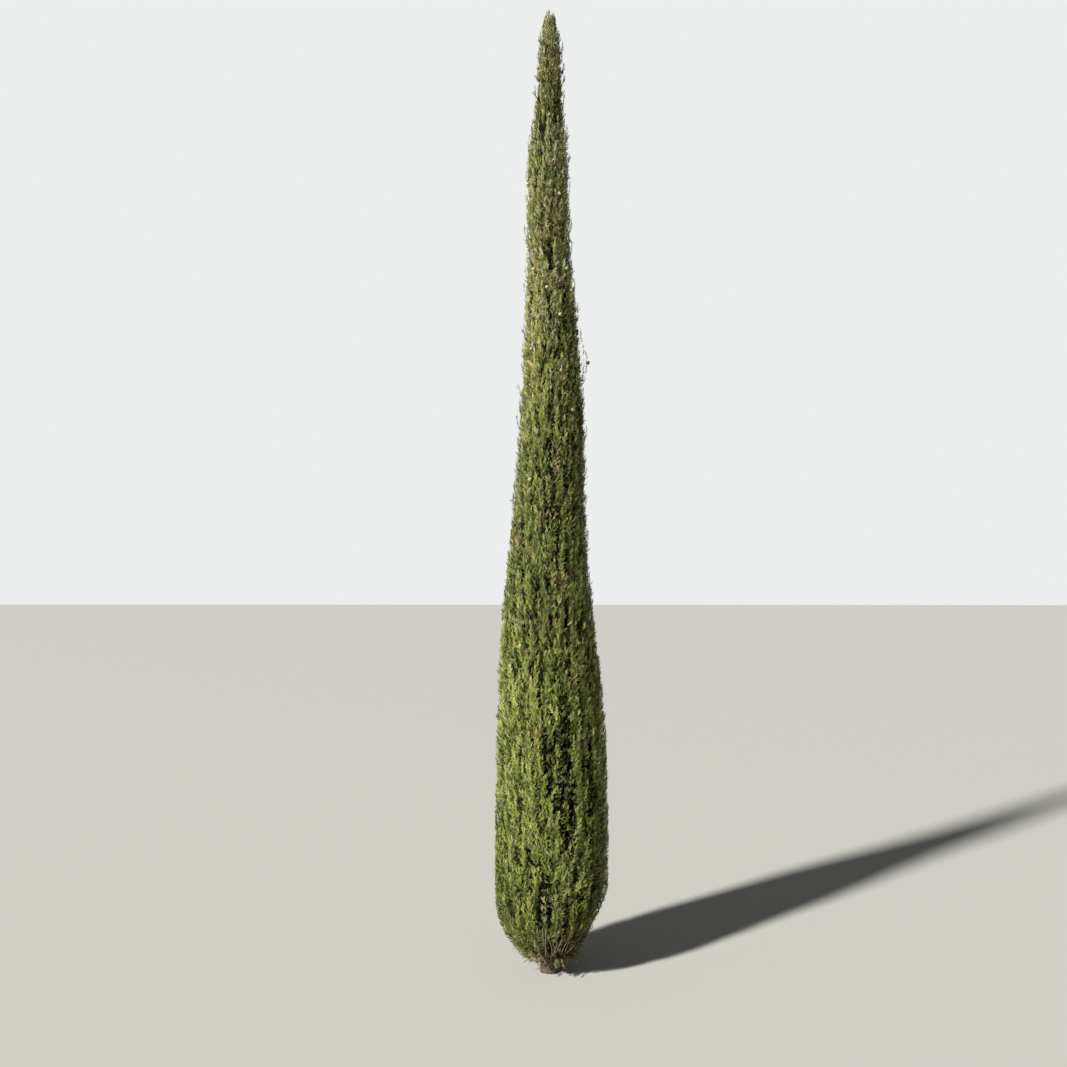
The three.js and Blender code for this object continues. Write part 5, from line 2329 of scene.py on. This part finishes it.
@dataclass(frozen=True)
class Studio:
    """Floor, soft light and the camera at the photograph's viewing angle."""

    frame_pixels: float = 1067.0
    focal_pixels: float = 1035.0
    sensor: float = 36.0  # millimetres
    eye_height: float = 1.65
    distance: float = 4.286
    pitch: float = math.radians(1.81)
    yaw: float = math.radians(0.91)
    floor_size: float = 80.0
    floor_colour: str = "#b0aea6"
    sky_colour: str = "#e2e7ec"
    sky_strength: float = 0.18
    backdrop_colour: str = "#eceeee"
    key_elevation: float = math.radians(33)
    key_azimuth: float = math.radians(41)  # of the light's travel, from +X towards +Y
    key_strength: float = 7.5
    key_angle: float = math.radians(4)
    rim_strength: float = 0.04

    def camera(self) -> None:
        """Places the camera, which looks slightly up and to the left of the tree."""
        data = bpy.data.cameras.new("portrait_camera")
        data.sensor_width = self.sensor
        data.lens = self.focal_pixels / self.frame_pixels * self.sensor
        data.clip_end = 2 * self.floor_size
        camera = bpy.data.objects.new("portrait_camera", data)
        camera.location = (0.0, -self.distance, self.eye_height)
        camera.rotation_euler = Euler((math.pi / 2 + self.pitch, 0.0, self.yaw))
        bpy.context.scene.collection.objects.link(camera)
        bpy.context.scene.camera = camera

    def lamp(self, name: str, travel: Vector, strength: float, angle: float) -> None:
        """Adds a distant soft lamp.

        Args:
            name: the lamp's name.
            travel: the direction that its light travels in.
            strength: its strength.
            angle: how wide it looks from the tree, in radians.
        """
        data = bpy.data.lights.new(name, "SUN")
        data.energy = strength
        data.angle = angle
        lamp = bpy.data.objects.new(name, data)
        lamp.rotation_euler = travel.to_track_quat("-Z", "Y").to_euler()
        bpy.context.scene.collection.objects.link(lamp)

    def build(self) -> None:
        """Makes the camera, the lamps, the pale surroundings and the floor."""
        self.camera()
        low, high = math.cos(self.key_elevation), math.sin(self.key_elevation)
        flat = Vector((math.cos(self.key_azimuth), math.sin(self.key_azimuth), 0.0))
        key = Vector((low * flat.x, low * flat.y, -high))
        self.lamp("key_light", key, self.key_strength, self.key_angle)
        rim = Vector((-low * flat.x, -low * flat.y, -0.5 * high))
        self.lamp("rim_light", rim, self.rim_strength, math.radians(40))
        world = bpy.data.worlds.new("studio_surroundings")
        bpy.context.scene.world = world
        world.use_nodes = True
        tree = world.node_tree
        tree.nodes.clear()
        glow = add_node(
            tree,
            "ShaderNodeBackground",
            {"Color": linear(self.sky_colour), "Strength": self.sky_strength},
        )
        backdrop = add_node(tree, "ShaderNodeBackground", {"Color": linear(self.backdrop_colour)})
        seen = add_node(tree, "ShaderNodeLightPath")
        mixed = add_node(tree, "ShaderNodeMixShader", links={"Fac": seen})
        tree.links.new(glow.outputs["Background"], mixed.inputs[1])
        tree.links.new(backdrop.outputs["Background"], mixed.inputs[2])
        add_node(tree, "ShaderNodeOutputWorld", links={"Surface": mixed})
        bpy.context.scene.view_settings.view_transform = "Standard"
        half = self.floor_size / 2
        corners = half * np.array([[-1, -1, 0], [1, -1, 0], [1, 1, 0], [-1, 1, 0]])
        faces = np.array([[0, 1, 2], [0, 2, 3]])
        material, tree = new_material("studio_floor_paint")
        shader = add_node(
            tree,
            "ShaderNodeBsdfPrincipled",
            {"Base Color": linear(self.floor_colour), "Roughness": 0.9},
        )
        add_node(tree, "ShaderNodeOutputMaterial", links={"Surface": shader})
        mesh_object("studio_floor", corners, faces, material)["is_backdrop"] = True


def main() -> None:
    """Builds the tree from the trunk outwards, then the studio round it."""
    logging.basicConfig(level=logging.INFO, format="%(name)s: %(message)s")
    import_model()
    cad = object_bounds()
    growth = np.random.default_rng(GROWTH_SEED)
    Studio().build()
    TRUNK.build()
    plumes = all_plumes()
    shoots: list[Shoot] = []
    cones: list[Cone] = []
    vigour_and_shade = Ripple(seed=77, wave=0.3)
    for plume in plumes:
        some_shoots, some_cones = plume.grow(growth)
        shoots += some_shoots
        cones += some_cones
    leader = Leader()
    shoots += leader.grow(plumes[-1].seed + RULE.seed_step, growth)
    for shoot in shoots:
        shoot.vigour_and_shade = float(vigour_and_shade.at(shoot.path[1]))
    foliage = Foliage(growth)
    inner = foliage.inner_shoots(leader.shoulder - 0.06)
    strays = foliage.stray_shoots()
    leaning = foliage.leaning_shoots() + foliage.fringe_shoots()
    LOG.info("%d plumes, %d shoots", len(plumes), len(shoots))
    nodes = [plume.node for plume in plumes] + [leader.node]
    Limbs().build(plumes, shoots, growth)
    InnerMass().build(nodes)
    box = (np.array(cad[0]), np.array(cad[1]))
    sprays = foliage.build(shoots + inner, strays + leaning, nodes, box)
    LOG.info("%d sprays", len(sprays.length))
    seed_cones = SeedCones()
    seed_cones.build(cones + seed_cones.choose(plumes, growth), growth)


if __name__ == "__main__":
    main()
